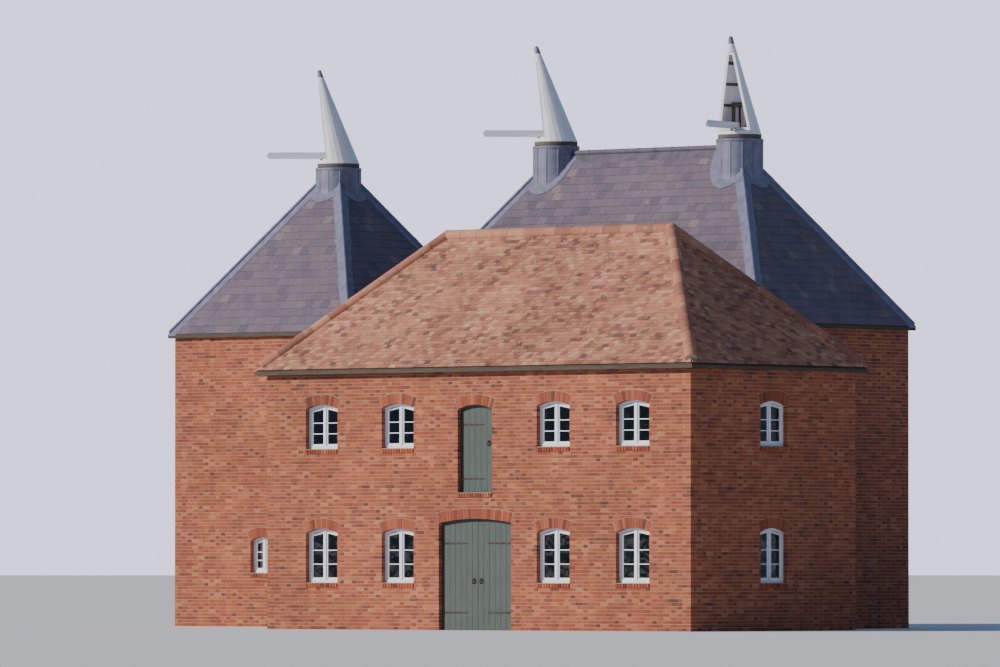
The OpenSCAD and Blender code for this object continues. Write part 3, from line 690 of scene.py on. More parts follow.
class Elevation:
    """One face of a block of building, seen from outside."""

    def __init__(self, side, low, high, corners=(True, True), covered=()):
        starts = {"front": (low.x, low.y), "right": (high.x, low.y),
                  "back": (high.x, high.y), "left": (low.x, high.y)}
        self.turn = TURNS[side]
        self.matrix = Matrix.Translation((*starts[side], 0)) @ Matrix.Rotation(self.turn, 4, "Z")
        self.length = high.x - low.x if side in ("front", "back") else high.y - low.y
        self.height = high.z
        self.corners = corners
        self.covered = covered
        self.openings = self.find_openings()

    def find_openings(self):
        """The openings whose frames stand in this wall, as deep in it as a frame does."""
        found = []
        for door, points in [(False, p) for p in window_islands] + [(True, p) for p in door_islands]:
            low, high = box_of(points, self.matrix)
            across = high.x - low.x > high.y - low.y
            in_depth = FRAME_DEPTHS[0] < low.y and high.y < FRAME_DEPTHS[1]
            in_face = low.x > 0 and high.x < self.length and high.z < self.height
            if across and in_depth and in_face:
                local = [self.matrix.inverted() @ p for p in points]
                spring = max(p.z for p in local if p.x < low.x + 1e-4)
                found.append(Opening(low, high, spring, door))
        return found


class Opening:
    """A doorway or window with a flat arc at its head, in the axes of its elevation."""

    def __init__(self, low, high, spring, door):
        self.door = door
        half = (high.x - low.x) / 2
        rise = high.z - spring
        self.left, self.right, self.sill, self.spring, self.crown = low.x, high.x, low.z, spring, high.z
        self.depth = low.y
        self.radius = (half * half + rise * rise) / (2 * rise)
        self.centre = Vector(((low.x + high.x) / 2, 0, high.z - self.radius))
        self.angle = math.asin(half / self.radius)


# %% The faces of the four buildings


def walls_of(building):
    """Lowest and highest corner of a building's front and back walls together."""
    boxes = [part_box(f"{building}_{side}_wall") for side in ("front", "back")]
    return box_of([corner for box in boxes for corner in box], Matrix())


single_low, single_high = walls_of("single_kiln")
double_low, double_high = walls_of("double_kiln")
stowage_low, stowage_high = walls_of("stowage")
passage_low, passage_high = walls_of("passage")
passage_wall_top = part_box("passage_front_wall")[1].z
against_stowage = (stowage_low.x - double_low.x, double_high.x - double_low.x, 0, stowage_high.z)
in_passage = (passage_low.y - single_low.y, passage_high.y - single_low.y, 0, passage_wall_top)
in_passage_left = (double_high.y - passage_high.y, double_high.y - passage_low.y, 0, passage_wall_top)

ELEVATIONS = {
    "single_kiln": [
        Elevation("front", single_low, single_high), Elevation("left", single_low, single_high),
        Elevation("back", single_low, single_high),
        Elevation("right", single_low, single_high, covered=[in_passage])],
    "double_kiln": [
        Elevation("front", double_low, double_high, covered=[against_stowage]),
        Elevation("left", double_low, double_high, covered=[in_passage_left]),
        Elevation("back", double_low, double_high), Elevation("right", double_low, double_high)],
    "passage": [
        Elevation("front", passage_low, Vector((*passage_high.xy, passage_wall_top)), (False, False)),
        Elevation("back", passage_low, passage_high, (False, False))],
    "stowage": [
        Elevation("front", stowage_low, stowage_high),
        Elevation("left", stowage_low, stowage_high, (False, True)),
        Elevation("right", stowage_low, stowage_high),
        Elevation("back", Vector((double_high.x, stowage_low.y, 0)), stowage_high, (True, False))],
}
for name, faces in ELEVATIONS.items():
    print(f"{name}: {len(faces)} faces, {sum(len(face.openings) for face in faces)} openings")

# %% [markdown]
# ## Bricks in Flemish bond
# In every course a long stretcher follows a short header, and each header sits over the middle of a
# stretcher below. At an outer corner the end of one face's stretcher is the header of the next face, which
# is why the courses of neighbouring faces take turns there, with a small closer beside the header. Bricks
# beside an opening are as deep as its reveal, so the jamb shows real brick too. Joints are a centimetre of
# mortar, and the bricks stand half a centimetre proud of it.

# %% Sizes of the brickwork
COURSE = BRICK_HEIGHT + JOINT
BOND = BRICK_LENGTH + BRICK_WIDTH + 2 * JOINT
PROUD = 0.005
UNEVEN = 0.0015
BEDDED = 0.02
SHORTEST = 0.045
JAMB_SHOW = 0.002
RING = BRICK_LENGTH
SILL_HEIGHT = 0.1
HEADER_TINT = 0.55
STRETCHER_TINT = 0.40
TINT_SPREAD = 0.21

rows = random.Random(4)
print(f"a course is {COURSE * 1000:.0f} mm high, and the bond repeats after {BOND * 1000:.0f} mm")

# %% One course between its ends


def bond_bricks(start, end, odd):
    """Bricks of one course between two ends: (left, right, is a header). Scraps join their neighbour."""
    if end - start < SHORTEST:
        return []
    shift = BOND / 2 if odd else 0.0
    found = []
    step = math.floor((start - shift) / BOND)
    while step * BOND + shift < end:
        left = step * BOND + shift
        for low, high, header in ((left, left + BRICK_LENGTH, False),
                                  (left + BRICK_LENGTH + JOINT, left + BOND - JOINT, True)):
            low, high = max(low, start), min(high, end)
            if high - low >= SHORTEST:
                found.append([low, high, header])
        step += 1
    if not found:
        return [[start, end, True]]
    found[0][0], found[-1][1] = start, end
    return found


def blocked_spans(face, low, high):
    """What interrupts a course: (left, right, depth of the reveal or 0)."""
    spans = []
    for left, right, foot, top in face.covered:
        if low < top - COURSE / 2 and high > foot:
            spans.append((left, right, 0.0))
    for hole in face.openings:
        foot = hole.sill - (SILL_HEIGHT if hole.sill > JOINT else 0)
        if high > foot and low < hole.spring:
            spans.append((hole.left, hole.right, hole.depth))
    return sorted(spans)


def free_spans(face, course, low, high):
    """Stretches of wall between corners and openings: (start, end, reveal at the start, at the end)."""
    first, last = 0.0, face.length
    if face.corners[0]:
        first = (BRICK_WIDTH if course % 2 else BRICK_LENGTH) + JOINT
    if face.corners[1]:
        last -= (BRICK_LENGTH if course % 2 else BRICK_WIDTH) + JOINT
    spans = []
    start, depth = first, 0.0
    for left, right, reveal in blocked_spans(face, low, high):
        spans.append((start, min(left, last), depth, reveal))
        start, depth = max(right, start), reveal
    spans.append((start, last, depth, 0.0))
    return [span for span in spans if span[1] - span[0] > SHORTEST]


# %% One brick in its face


def arch_near(face, left, right, middle):
    """The arch whose ring of bricks a brick may touch, or None."""
    for hole in face.openings:
        reach = (hole.radius + RING + JOINT) * math.sin(hole.angle) + JOINT + (right - left) / 2
        level = hole.spring - COURSE < middle < hole.crown + RING + COURSE
        if level and abs((left + right) / 2 - hole.centre.x) < reach:
            return hole
    return None


def drawn_tint(mean, spread):
    return min(1.0, max(0.0, rows.gauss(mean, spread)))


def brick_tint(header):
    """Headers often lay nearest the fire, so they are darker."""
    return drawn_tint(HEADER_TINT if header else STRETCHER_TINT, TINT_SPREAD)


def brick_place(face, left, right, low, high, depth, header):
    """A brick as a place for the stamp, seen from its face's own axes."""
    value = brick_tint(header)
    proud = PROUD + rows.uniform(-UNEVEN, UNEVEN)
    middle = face.matrix @ Vector(((left + right) / 2, (depth - proud) / 2, (low + high) / 2))
    return middle, (0, 0, face.turn), (right - left, depth + proud, high - low), value


# %% A face in Flemish bond


def corner_bricks(face, course, low, high):
    """The long brick that turns a corner, at one end in even courses and at the other in odd ones."""
    if face.corners[0] and course % 2 == 0:
        yield brick_place(face, -PROUD, BRICK_LENGTH, low, high, BRICK_WIDTH, False)
    if face.corners[1] and course % 2:
        left = face.length - BRICK_LENGTH
        yield brick_place(face, left, face.length + PROUD, low, high, BRICK_WIDTH, False)


def bricks_under_sills(face, course, low, high):
    """The thin bricks that fill a course up to a sill."""
    for hole in face.openings:
        foot = hole.sill - SILL_HEIGHT
        if low < foot - 2 * JOINT and high > foot:
            for left, right, header in bond_bricks(hole.left, hole.right, course % 2):
                yield brick_place(face, left, right, low, foot - JOINT / 2, BEDDED, header)


def lay_face(face):
    """Every brick of a face: whole ones as places, and those that an arch cuts as (box, tint, opening)."""
    places, cuts = [], []
    for course in range(math.ceil(face.height / COURSE)):
        low = course * COURSE + JOINT / 2
        high = min(low + BRICK_HEIGHT, face.height)
        places += corner_bricks(face, course, low, high)
        for start, end, start_depth, end_depth in free_spans(face, course, low, high):
            for left, right, header in bond_bricks(start, end, course % 2):
                depth = BEDDED
                if left == start and start_depth:
                    left, depth = left - JAMB_SHOW, start_depth - JAMB_SHOW
                if right == end and end_depth:
                    right, depth = right + JAMB_SHOW, end_depth - JAMB_SHOW
                hole = arch_near(face, left, right, (low + high) / 2)
                if hole is None:
                    places.append(brick_place(face, left, right, low, high, depth, header))
                else:
                    cuts.append((left, right, low, high, depth, brick_tint(header), hole))
        places += bricks_under_sills(face, course, low, high)
    return places, cuts


# %% [markdown]
# ## Arches and sills
# A flat arc carries the wall over each opening: one ring of bricks on end, every brick leaning towards the
# arc's centre and cut a little narrower at its foot. The bricks of the wall are cut to meet the ring. The
# sill is a row of bricks on edge that tips the rain outwards.

# %% Bricks cut at an arch
SPLINTER = 0.006


def saw_off(bm, verts, face, point, normal):
    """Cuts part of a bmesh at a plane in a face's own axes. The side that the normal points to stays."""
    geometry = list(dict.fromkeys(item for v in verts for item in (v, *v.link_edges, *v.link_faces)))
    made = bmesh.ops.bisect_plane(bm, geom=geometry, dist=1e-5, plane_co=face.matrix @ point,
                                  plane_no=face.matrix.to_3x3() @ normal, clear_inner=True)
    cut_edges = [item for item in made["geom_cut"] if isinstance(item, bmesh.types.BMEdge)]
    if cut_edges:
        bmesh.ops.edgeloop_fill(bm, edges=cut_edges)
    cut_verts = [item for item in made["geom_cut"] if isinstance(item, bmesh.types.BMVert)]
    return list(dict.fromkeys([v for v in verts if v.is_valid] + cut_verts))


def cut_brick(bm, face, left, right, low, high, depth, value, hole):
    """A brick of the wall near an arch: the part beside the ring's end, and the part above the ring."""
    x, z = (left + right) / 2 - hole.centre.x, (low + high) / 2 - hole.centre.z
    side = math.copysign(1, x)
    lean = min(math.atan2(abs(x), z), hole.angle)
    beside = Vector((side * math.cos(hole.angle), 0, -math.sin(hole.angle)))
    above = Vector((side * math.sin(lean), 0, math.cos(lean)))
    ring_end = hole.centre + beside * JOINT
    ring_top = hole.centre + above * (hole.radius + RING + JOINT)
    for cuts in ([(ring_end, beside)], [(ring_end, -beside), (ring_top, above)]):
        verts = block(bm, (left, -PROUD, low), (right, depth, high), face.matrix, value)
        for point, normal in cuts:
            verts = saw_off(bm, verts, face, point, normal) if verts else []
        if verts:
            corner, opposite = box_of([v.co for v in verts], face.matrix)
            if min((opposite - corner).xz) < SPLINTER:
                bmesh.ops.delete(bm, geom=verts, context="VERTS")


# %% Rings and sills
RING_UNEVEN = 0.002
SILL_PROUD = 0.035
SILL_LIFT = 0.012
SILL_TIP = math.radians(7)
SILL_EDGE = 0.004


def lay_ring(bm, face, hole):
    """The bricks on end over one opening."""
    inner = hole.radius - JAMB_SHOW
    outer = hole.radius + RING
    count = round(2 * hole.angle * (inner + outer) / 2 / COURSE) // 2 * 2 + 1
    step = 2 * hole.angle / count
    for index in range(count):
        lean = (index + 0.5) * step - hole.angle
        foot = step * inner / 2 - JOINT / 2
        head = step * outer / 2 - JOINT / 2
        axes = face.matrix @ Matrix.Translation(hole.centre) @ Matrix.Rotation(lean, 4, "Y")
        low = (-foot, -PROUD - rows.uniform(0, RING_UNEVEN), inner)
        verts = block(bm, low, (foot, hole.depth - JAMB_SHOW, outer), axes, brick_tint(True))
        inverse = axes.inverted()
        top = [v for v in verts if (inverse @ v.co).z > (inner + outer) / 2]
        bmesh.ops.scale(bm, vec=(head / foot, 1, 1), verts=top, space=inverse)


def lay_sill(bm, face, hole):
    """Bricks on edge under one window, tipped outwards."""
    count = round((hole.right - hole.left) / COURSE)
    step = (hole.right - hole.left) / count
    corner = Matrix.Translation((hole.left, hole.depth, hole.sill))
    axes = face.matrix @ corner @ Matrix.Rotation(SILL_TIP, 4, "X")
    for index in range(count):
        low = (index * step + JOINT / 2, -hole.depth - SILL_PROUD, SILL_LIFT - SILL_HEIGHT)
        high = (index * step + step - JOINT / 2, 0, 0)
        block(bm, low, high, axes, brick_tint(True), SILL_EDGE)


# %% Lay the bricks of every building
stamp_bm = bmesh.new()
bmesh.ops.create_cube(stamp_bm, size=1)
brick_stamp = new_object(stamp_bm, "brick_stamp", brick_clay)
for building, faces in ELEVATIONS.items():
    all_places = []
    arch_bm = bmesh.new()
    for face in faces:
        places, cuts = lay_face(face)
        all_places += places
        for cut in cuts:
            cut_brick(arch_bm, face, *cut)
        for hole in face.openings:
            lay_ring(arch_bm, face, hole)
            if hole.sill > JOINT:
                lay_sill(arch_bm, face, hole)
    join_laid([lay_copies(brick_stamp, all_places)], f"{building}_bricks", brick_clay, "brick")
    add_piece(arch_bm, f"{building}_arches", brick_clay, "brick")
bpy.data.objects.remove(brick_stamp)

# %% [markdown]
# ## The slopes of the roofs
# Slates and tiles are laid in courses from the eaves up, so each slope gets axes of its own: x along the
# eaves, y up the slope and z out of it. The pitch comes from the largest upward face of the roof slab, and
# the width from its box. On a hipped roof all four slopes rise at one pitch to hips that run at 45 degrees
# in plan.

# %% Roof slopes from the frame


class Slope:
    """One slope of a roof, with its width at the eaves and its length up to the ridge."""

    def __init__(self, matrix, width, length, pitch, hips=True):
        self.matrix, self.width, self.length, self.pitch, self.hips = matrix, width, length, pitch, hips

    def half_width(self, y):
        """Half of the slope's width at a distance up it."""
        return self.width / 2 - (y * math.cos(self.pitch) if self.hips else 0)

    def edges(self):
        """The planes that bound its covering, as (point, outward direction)."""
        lean = math.cos(self.pitch) if self.hips else 0
        planes = [(Vector((side * self.width / 2, 0, 0)), Vector((side, lean, 0))) for side in (-1, 1)]
        return planes + [(Vector((0, self.length, 0)), Vector((0, 1, 0)))]


def top_face(node):
    """Pitch of a roof slab, and the lowest point of its upper face."""
    bm = bmesh.new()
    bm.from_mesh(nodes[node].data)
    face = max((f for f in bm.faces if f.normal.z > 0.1), key=lambda f: f.calc_area())
    pitch = math.acos(face.normal.z)
    point = min((v.co.copy() for v in face.verts), key=lambda p: p.z)
    bm.free()
    return pitch, point


def line_axes(start, direction):
    """Axes at a point with x along a direction and z as near upwards as that allows."""
    x = direction.normalized()
    y = Vector((0, 0, 1)).cross(x).normalized()
    return Matrix.Translation(start) @ Matrix((x, y, x.cross(y))).transposed().to_4x4()


# %% Hipped roofs


class HipRoof:
    """The four slopes of a hipped roof, read from the boxes of its slabs."""

    def __init__(self, name):
        front_low, front_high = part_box(name + "_roof_front")
        right_low, right_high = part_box(name + "_roof_right")
        self.width, self.depth = front_high.x - front_low.x, right_high.y - right_low.y
        self.x, self.y = (front_low.x + front_high.x) / 2, (right_low.y + right_high.y) / 2
        self.pitch, point = top_face(name + "_roof_front")
        self.eaves_z = point.z + math.tan(self.pitch) * (front_low.y - point.y)
        self.apex = self.eaves_z + math.tan(self.pitch) * self.depth / 2
        self.run = self.width - self.depth
        self.slopes = {side: self.slope(side) for side in TURNS}

    def slope(self, side):
        along, across = self.width, self.depth
        if side in ("left", "right"):
            along, across = across, along
        matrix = (Matrix.Translation((self.x, self.y, self.eaves_z)) @ Matrix.Rotation(TURNS[side], 4, "Z")
                  @ Matrix.Translation((0, -across / 2, 0)) @ Matrix.Rotation(self.pitch, 4, "X"))
        return Slope(matrix, along, self.depth / 2 / math.cos(self.pitch), self.pitch)

    def surface(self, x, y):
        """Height of the roof over a point of its plan."""
        out = max(abs(x - self.x) - self.run / 2, abs(y - self.y))
        return self.apex - math.tan(self.pitch) * out

    def hip(self, side_x, side_y, raised=0.0):
        """Axes with x down a hip and z up from it, and the hip's length."""
        start = Vector((self.x + side_x * self.run / 2, self.y, self.apex + raised))
        fall = Vector((side_x, side_y, -math.tan(self.pitch)))
        return line_axes(start, fall), fall.length * self.depth / 2

    def hip_fall(self):
        """How far each slope falls away beside a hip, as an angle seen along the hip."""
        return math.acos(math.cos(self.pitch) ** 2) / 2


# %% The four roofs
single_roof = HipRoof("single_kiln")
double_roof = HipRoof("double_kiln")
stowage_roof = HipRoof("stowage")
passage_pitch, passage_foot = top_face("passage_roof")
passage_roof_low, passage_roof_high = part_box("passage_roof")
passage_slope = Slope(
    Matrix.Translation(((passage_roof_low.x + passage_roof_high.x) / 2, passage_foot.y, passage_foot.z))
    @ Matrix.Rotation(passage_pitch, 4, "X"),
    passage_roof_high.x - passage_roof_low.x,
    (passage_roof_high.y - passage_foot.y) / math.cos(passage_pitch), passage_pitch, hips=False)
for name, roof in (("single kiln", single_roof), ("double kiln", double_roof), ("stowage", stowage_roof)):
    pitch = math.degrees(roof.pitch)
    print(f"{name}: pitch {pitch:.0f} degrees, ridge {roof.run:.2f} m long at {roof.apex:.2f} m")

# %% [markdown]
# ## Slates and plain tiles
# A slate is a thin split sheet whose head lies under the courses above. Only its tail shows, and it stands
# off the roof by the thickness of what it covers, which gives every course its fine shadow. Plain clay
# tiles are smaller and thicker, and drying bent them a little. The courses break joint as brickwork does.
# At the hips the covering is sawn along the slope's edge, and the hole in each sheet is closed again.

# %% Stamps for slates and tiles


class Covering:
    """A kind of roof covering: its sheets and the way they are laid, in metres."""

    def __init__(self, width, length, spacing, gauge, head, tail, thick, ragged):
        self.width, self.length, self.spacing, self.gauge = width, length, spacing, gauge
        self.head, self.tail, self.thick, self.ragged = head, tail, thick, ragged
        self.tilt = math.asin((tail - head) / length)


SLATES = Covering(width=0.247, length=0.300, spacing=0.250, gauge=0.215,
                  head=0.005, tail=0.017, thick=0.006, ragged=0.003)
PLAIN_TILES = Covering(width=0.164, length=0.265, spacing=0.166, gauge=0.100,
                       head=0.010, tail=0.038, thick=0.012, ragged=0.004)
CHIP = 0.022
CAMBER = 0.004


def slate_stamp(name, chip):
    """One slate. A chip takes a corner off its tail: -1 the left one, 1 the right one, 0 neither."""
    bm = bmesh.new()
    shape = Matrix.Diagonal((SLATES.width, SLATES.length, SLATES.thick, 1))
    bmesh.ops.create_cube(bm, size=1, matrix=shape)
    corner = [e for e in bm.edges if all(v.co.y < 0 and v.co.x * chip > 0 for v in e.verts)]
    if corner:
        plane_off(bm, corner, CHIP)
    return new_object(bm, name)


def tile_stamp(name):
    """One plain tile, arched a little across its width."""
    bm = bmesh.new()
    bmesh.ops.create_grid(bm, x_segments=3, y_segments=1, size=0.5)
    bmesh.ops.scale(bm, vec=(PLAIN_TILES.width, PLAIN_TILES.length, 1), verts=bm.verts)
    for vert in bm.verts:
        vert.co.z = CAMBER * (1 - (2 * vert.co.x / PLAIN_TILES.width) ** 2) + PLAIN_TILES.thick / 2
    bmesh.ops.solidify(bm, geom=bm.faces[:], thickness=PLAIN_TILES.thick)
    bmesh.ops.recalc_face_normals(bm, faces=bm.faces)
    return new_object(bm, name)


slate_stamps = [slate_stamp(name, chip) for name, chip in
                (("whole_slate", 0), ("left_chip_slate", -1), ("right_chip_slate", 1))]
tile_stamps = [tile_stamp("plain_tile")]
for stamp in slate_stamps + tile_stamps:
    print(f"{stamp.name}: {len(stamp.data.polygons)} faces")

# %% Lay a slope
EAVES_SETBACK = 0.005
CHIPPED_SHARE = 0.06
SHEET_TWIST = 0.006
SHEET_TINT, SHEET_TINT_SPREAD = 0.5, 0.25


def cut_off(bm, point, outward):
    """Saws off what lies beyond a plane, and closes the cut."""
    bmesh.ops.bisect_plane(bm, geom=bm.verts[:] + bm.edges[:] + bm.faces[:], dist=1e-6,
                           plane_co=point, plane_no=outward, clear_outer=True)
    bmesh.ops.holes_fill(bm, edges=[edge for edge in bm.edges if edge.is_boundary], sides=0)


def course_places(slope, covering, stamps, keep):
    """Where the sheets of a slope lie, as one list of places for each stamp."""
    places = [[] for stamp in stamps]
    lift = (covering.head + covering.tail) / 2 - covering.thick / 2
    first = covering.tail * math.tan(slope.pitch) + EAVES_SETBACK
    for course in range(math.ceil((slope.length - first) / covering.gauge)):
        foot = first + course * covering.gauge
        half = slope.half_width(foot) + covering.width / 2
        count = math.ceil(half / covering.spacing)
        for step in range(-count, count + 1):
            x = (step + course % 2 / 2) * covering.spacing
            y = foot + covering.length / 2 + rows.uniform(0, covering.ragged)
            if abs(x) < half and keep(slope.matrix @ Vector((x, y, 0))):
                chipped = len(stamps) > 1 and rows.random() < CHIPPED_SHARE
                which = rows.choice(range(1, len(stamps))) if chipped else 0
                turn = (-covering.tilt, 0, rows.gauss(0, SHEET_TWIST))
                spot = (x, y, lift + rows.uniform(0, covering.ragged / 3))
                places[which].append((spot, turn, (1, 1, 1), drawn_tint(SHEET_TINT, SHEET_TINT_SPREAD)))
    return places


def lay_slope(slope, covering, stamps, keep, walls=()):
    """The covering of one slope, sawn along its own edges and along any walls that it meets."""
    bm = bmesh.new()
    for stamp, places in zip(stamps, course_places(slope, covering, stamps, keep)):
        if places:
            take(bm, lay_copies(stamp, places))
    for point, outward in slope.edges():
        cut_off(bm, point, outward)
    bmesh.ops.transform(bm, matrix=slope.matrix, verts=bm.verts)
    for point, outward in walls:
        cut_off(bm, point, outward)
    bmesh.ops.recalc_face_normals(bm, faces=bm.faces)
    covered = bpy.data.meshes.new("slope")
    bm.to_mesh(covered)
    bm.free()
    return covered


# %% [markdown]
# ### Covering the four roofs
# The slates stop inside the round curbs, and the tiles of the stowage stop at the lead gutter along the
# kiln. Each side of the tile roof is a piece of its own, so that no piece grows too large.

# %% Slates and tiles on the roofs
UNDER_CURB = 0.42
OVER_GUTTER = 0.04

axes_of_cowls = {joint["child"].split("_")[1]: Vector(joint["pos_m"]) for joint in frame["joints"]}
gutter_low, gutter_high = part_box("valley_gutter")


def outside_curbs(point):
    return all((point.xy - axis.xy).length > UNDER_CURB for axis in axes_of_cowls.values())


def clear_of_gutter(point):
    return point.x > gutter_high.x - PLAIN_TILES.width / 2 or point.y < gutter_low.y - OVER_GUTTER


def anywhere(point):
    return True


for name, slopes in (("single_kiln", single_roof.slopes.values()),
                     ("double_kiln", double_roof.slopes.values()),
                     ("passage", [passage_slope])):
    sheets = [lay_slope(slope, SLATES, slate_stamps, outside_curbs) for slope in slopes]
    join_laid(sheets, name + "_slates", slate_stone, "slate")
kiln_face = (Vector((0, double_low.y - PROUD, 0)), Vector((0, 1, 0)))
for side, slope in stowage_roof.slopes.items():
    keep = clear_of_gutter if side == "back" else anywhere
    tiles = lay_slope(slope, PLAIN_TILES, tile_stamps, keep, [kiln_face] if side == "left" else [])
    join_laid([tiles], f"stowage_{side}_tiles", clay_tile, "clay_tile")
for stamp in slate_stamps + tile_stamps:
    bpy.data.objects.remove(stamp)

# %% [markdown]
# ## Ridge and hip tiles of the stowage
# Half-round tiles cap the ridge and run down the hips. They lie on a thick bed of mortar, which the frame's
# own node shows between them and under their edges. One tile is spun round the line of the ridge and given
# its length by an extrusion, then laid end to end along each line. Where the ridge meets two hips, a round
# knob of clay closes the three open ends.

# %% A half-round tile
HALF_ROUND_RADIUS = 0.128
HALF_ROUND_THICK = 0.013
HALF_ROUND_LENGTH = 0.45
HALF_ROUND_SWEEP = math.radians(226)
HALF_ROUND_STEPS = 12
HALF_ROUND_JOINT = 0.008


def points_of(made):
    """The new points that an extrusion returns."""
    return [item for item in made["geom"] if isinstance(item, bmesh.types.BMVert)]


def half_round_stamp(name):
    bm = bmesh.new()
    ends = [bm.verts.new((0, 0, HALF_ROUND_RADIUS - inwards)) for inwards in (HALF_ROUND_THICK, 0)]
    rib = bm.edges.new(ends)
    bmesh.ops.rotate(bm, cent=(0, 0, 0), matrix=Matrix.Rotation(-HALF_ROUND_SWEEP / 2, 3, "X"), verts=ends)
    bmesh.ops.spin(bm, geom=[*ends, rib], cent=(0, 0, 0), axis=(1, 0, 0), angle=HALF_ROUND_SWEEP,
                   steps=HALF_ROUND_STEPS)
    made = bmesh.ops.extrude_face_region(bm, geom=bm.faces[:])
    bmesh.ops.translate(bm, vec=(HALF_ROUND_LENGTH - HALF_ROUND_JOINT, 0, 0), verts=points_of(made))
    bmesh.ops.recalc_face_normals(bm, faces=bm.faces)
    soften(bm)
    return new_object(bm, name)


half_round = half_round_stamp("half_round_tile")
print(f"{half_round.name}: {len(half_round.data.polygons)} faces")

# %% Tiles along the ridge and the hips
CAP_ROLL, CAP_SKEW = 0.010, 0.004
CAP_TINTS = (0.2, 0.9)
HIP_FOOT = 0.21
CORNERS = [(x, y) for x in (-1, 1) for y in (-1, 1)]


def line_of_tiles(axes, length, hidden):
    """Places for half-round tiles end to end along the x axis, as far as they show."""
    count = round(length / HALF_ROUND_LENGTH)
    pitch = length / count
    places = []
    for index in range(count):
        start = axes @ Vector((index * pitch, 0, 0))
        if hidden(start):
            break
        slip = Euler((rows.gauss(0, CAP_ROLL), rows.gauss(0, CAP_SKEW), rows.gauss(0, CAP_SKEW)))
        turn = (axes @ slip.to_matrix().to_4x4()).to_euler()
        places.append((start, turn, (pitch / HALF_ROUND_LENGTH, 1, 1), rows.uniform(*CAP_TINTS)))
    return places


def nowhere(point):
    return False


def in_kiln_wall(point):
    return point.x < double_high.x and point.y > double_low.y - HALF_ROUND_LENGTH / 4


ridge_start = Vector((stowage_roof.x - stowage_roof.run / 2, stowage_roof.y, stowage_roof.apex))
caps = line_of_tiles(line_axes(ridge_start, Vector((1, 0, 0))), stowage_roof.run, nowhere)
for side_x, side_y in CORNERS:
    axes, length = stowage_roof.hip(side_x, side_y)
    caps += line_of_tiles(axes, length - HIP_FOOT, in_kiln_wall)
join_laid([lay_copies(half_round, caps)], "stowage_ridge_caps", clay_tile, "clay_tile")
bpy.data.objects.remove(half_round)

# %% Knobs at the ends of the ridge
KNOB_PROUD = 0.005
KNOB_TINT = 0.4

knob_bm = bmesh.new()
knob_layer = tint_layer(knob_bm)
for end in (0, stowage_roof.run):
    spot = Matrix.Translation(ridge_start + Vector((end, 0, 0)))
    bmesh.ops.create_icosphere(knob_bm, subdivisions=4, radius=HALF_ROUND_RADIUS + KNOB_PROUD, matrix=spot)
for vert in knob_bm.verts:
    vert[knob_layer] = KNOB_TINT
soften(knob_bm)
add_piece(knob_bm, "stowage_ridge_knobs", clay_tile, "clay_tile")

# %% [markdown]
# ## Laps on the lead hips and collars on the winged ridge
# A long sheet of lead creeps and tears, so a hip is dressed in short ones, each lapping the one below. The
# winged tiles of the kiln's ridge have a raised collar at each joint. Both are the same shape: a thin band
# that runs up one wing, over the roll and down the other wing. At the eaves the lead is beaten round over
# the end of each roll, which a ball of the roll's own radius gives.

# %% A band over a roll and its wings
WING_THICK = 0.0202
BAND_PROUD = 0.004


def band(bm, axes, along, fall, roll, wing, width):
    """One band across a hip or ridge, at a distance along it."""
    turn = axes @ Matrix.Translation((along, 0, 0))
    bar(bm, turn @ Matrix.Rotation(math.pi / 2, 4, "Y"), width, roll + BAND_PROUD, segments=20)
    for side in (-1, 1):
        near, far = sorted((0, side * wing))
        block(bm, (-width / 2, near, -WING_THICK / 2), (width / 2, far, BAND_PROUD),
              turn @ Matrix.Rotation(-side * fall, 4, "X"))


def raised(roof):
    """Height of the line where the wings on a roof meet, above the roof's own ridge or hip."""
    return WING_THICK / math.cos(roof.pitch)


# %% Laps and rounded ends on the hips
HIP_ROLL = 0.040
ROLL_END = HIP_ROLL + 0.001
HIP_WING = 0.225
LAP_SPACING = 1.5
LAP_WIDTH = 0.12

curb_low, curb_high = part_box("single_kiln_curb")
curb_radius = (curb_high.x - curb_low.x) / 2


def clear_of_curbs(point):
    return all((point.xy - axis.xy).length > curb_radius + LAP_WIDTH for axis in axes_of_cowls.values())


for name, roof in (("single_kiln", single_roof), ("double_kiln", double_roof)):
    bm = bmesh.new()
    for side_x, side_y in CORNERS:
        axes, length = roof.hip(side_x, side_y, raised(roof))
        for step in range(1, math.floor(length / LAP_SPACING) + 1):
            along = length - step * LAP_SPACING
            if clear_of_curbs(axes @ Vector((along, 0, 0))):
                band(bm, axes, along, roof.hip_fall(), HIP_ROLL, HIP_WING, LAP_WIDTH)
        foot = axes @ Matrix.Translation((length * (1 - 2 * ROLL_END / roof.depth), 0, 0))
        bmesh.ops.create_icosphere(bm, subdivisions=3, radius=ROLL_END, matrix=foot)
    soften(bm)
    add_piece(bm, name + "_hip_laps", sheet_lead, "lead")

# %% Collars on the winged ridge
COLLAR_SPACING = 0.45
COLLAR_WIDTH = 0.05

ridge_low, ridge_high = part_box("double_kiln_ridge")
ridge_z = double_roof.apex + raised(double_roof)
ridge_axes = line_axes(Vector((ridge_low.x, double_roof.y, ridge_z)), Vector((1, 0, 0)))
ridge_roll = ridge_high.z - ridge_z
ridge_wing = (double_roof.y - ridge_low.y) / math.cos(double_roof.pitch)
ridge_length = ridge_high.x - ridge_low.x
collars = round(ridge_length / COLLAR_SPACING)
bm = bmesh.new()
for index in range(collars + 1):
    along = index * ridge_length / collars
    if clear_of_curbs(ridge_axes @ Vector((along, 0, 0))):
        band(bm, ridge_axes, along, double_roof.pitch, ridge_roll, ridge_wing, COLLAR_WIDTH)
soften(bm)
add_piece(bm, "double_kiln_ridge_collars", ridge_clay, "ridge_tile")
print(f"the ridge has a roll of {ridge_roll * 1000:.0f} mm and wings of {ridge_wing * 1000:.0f} mm")

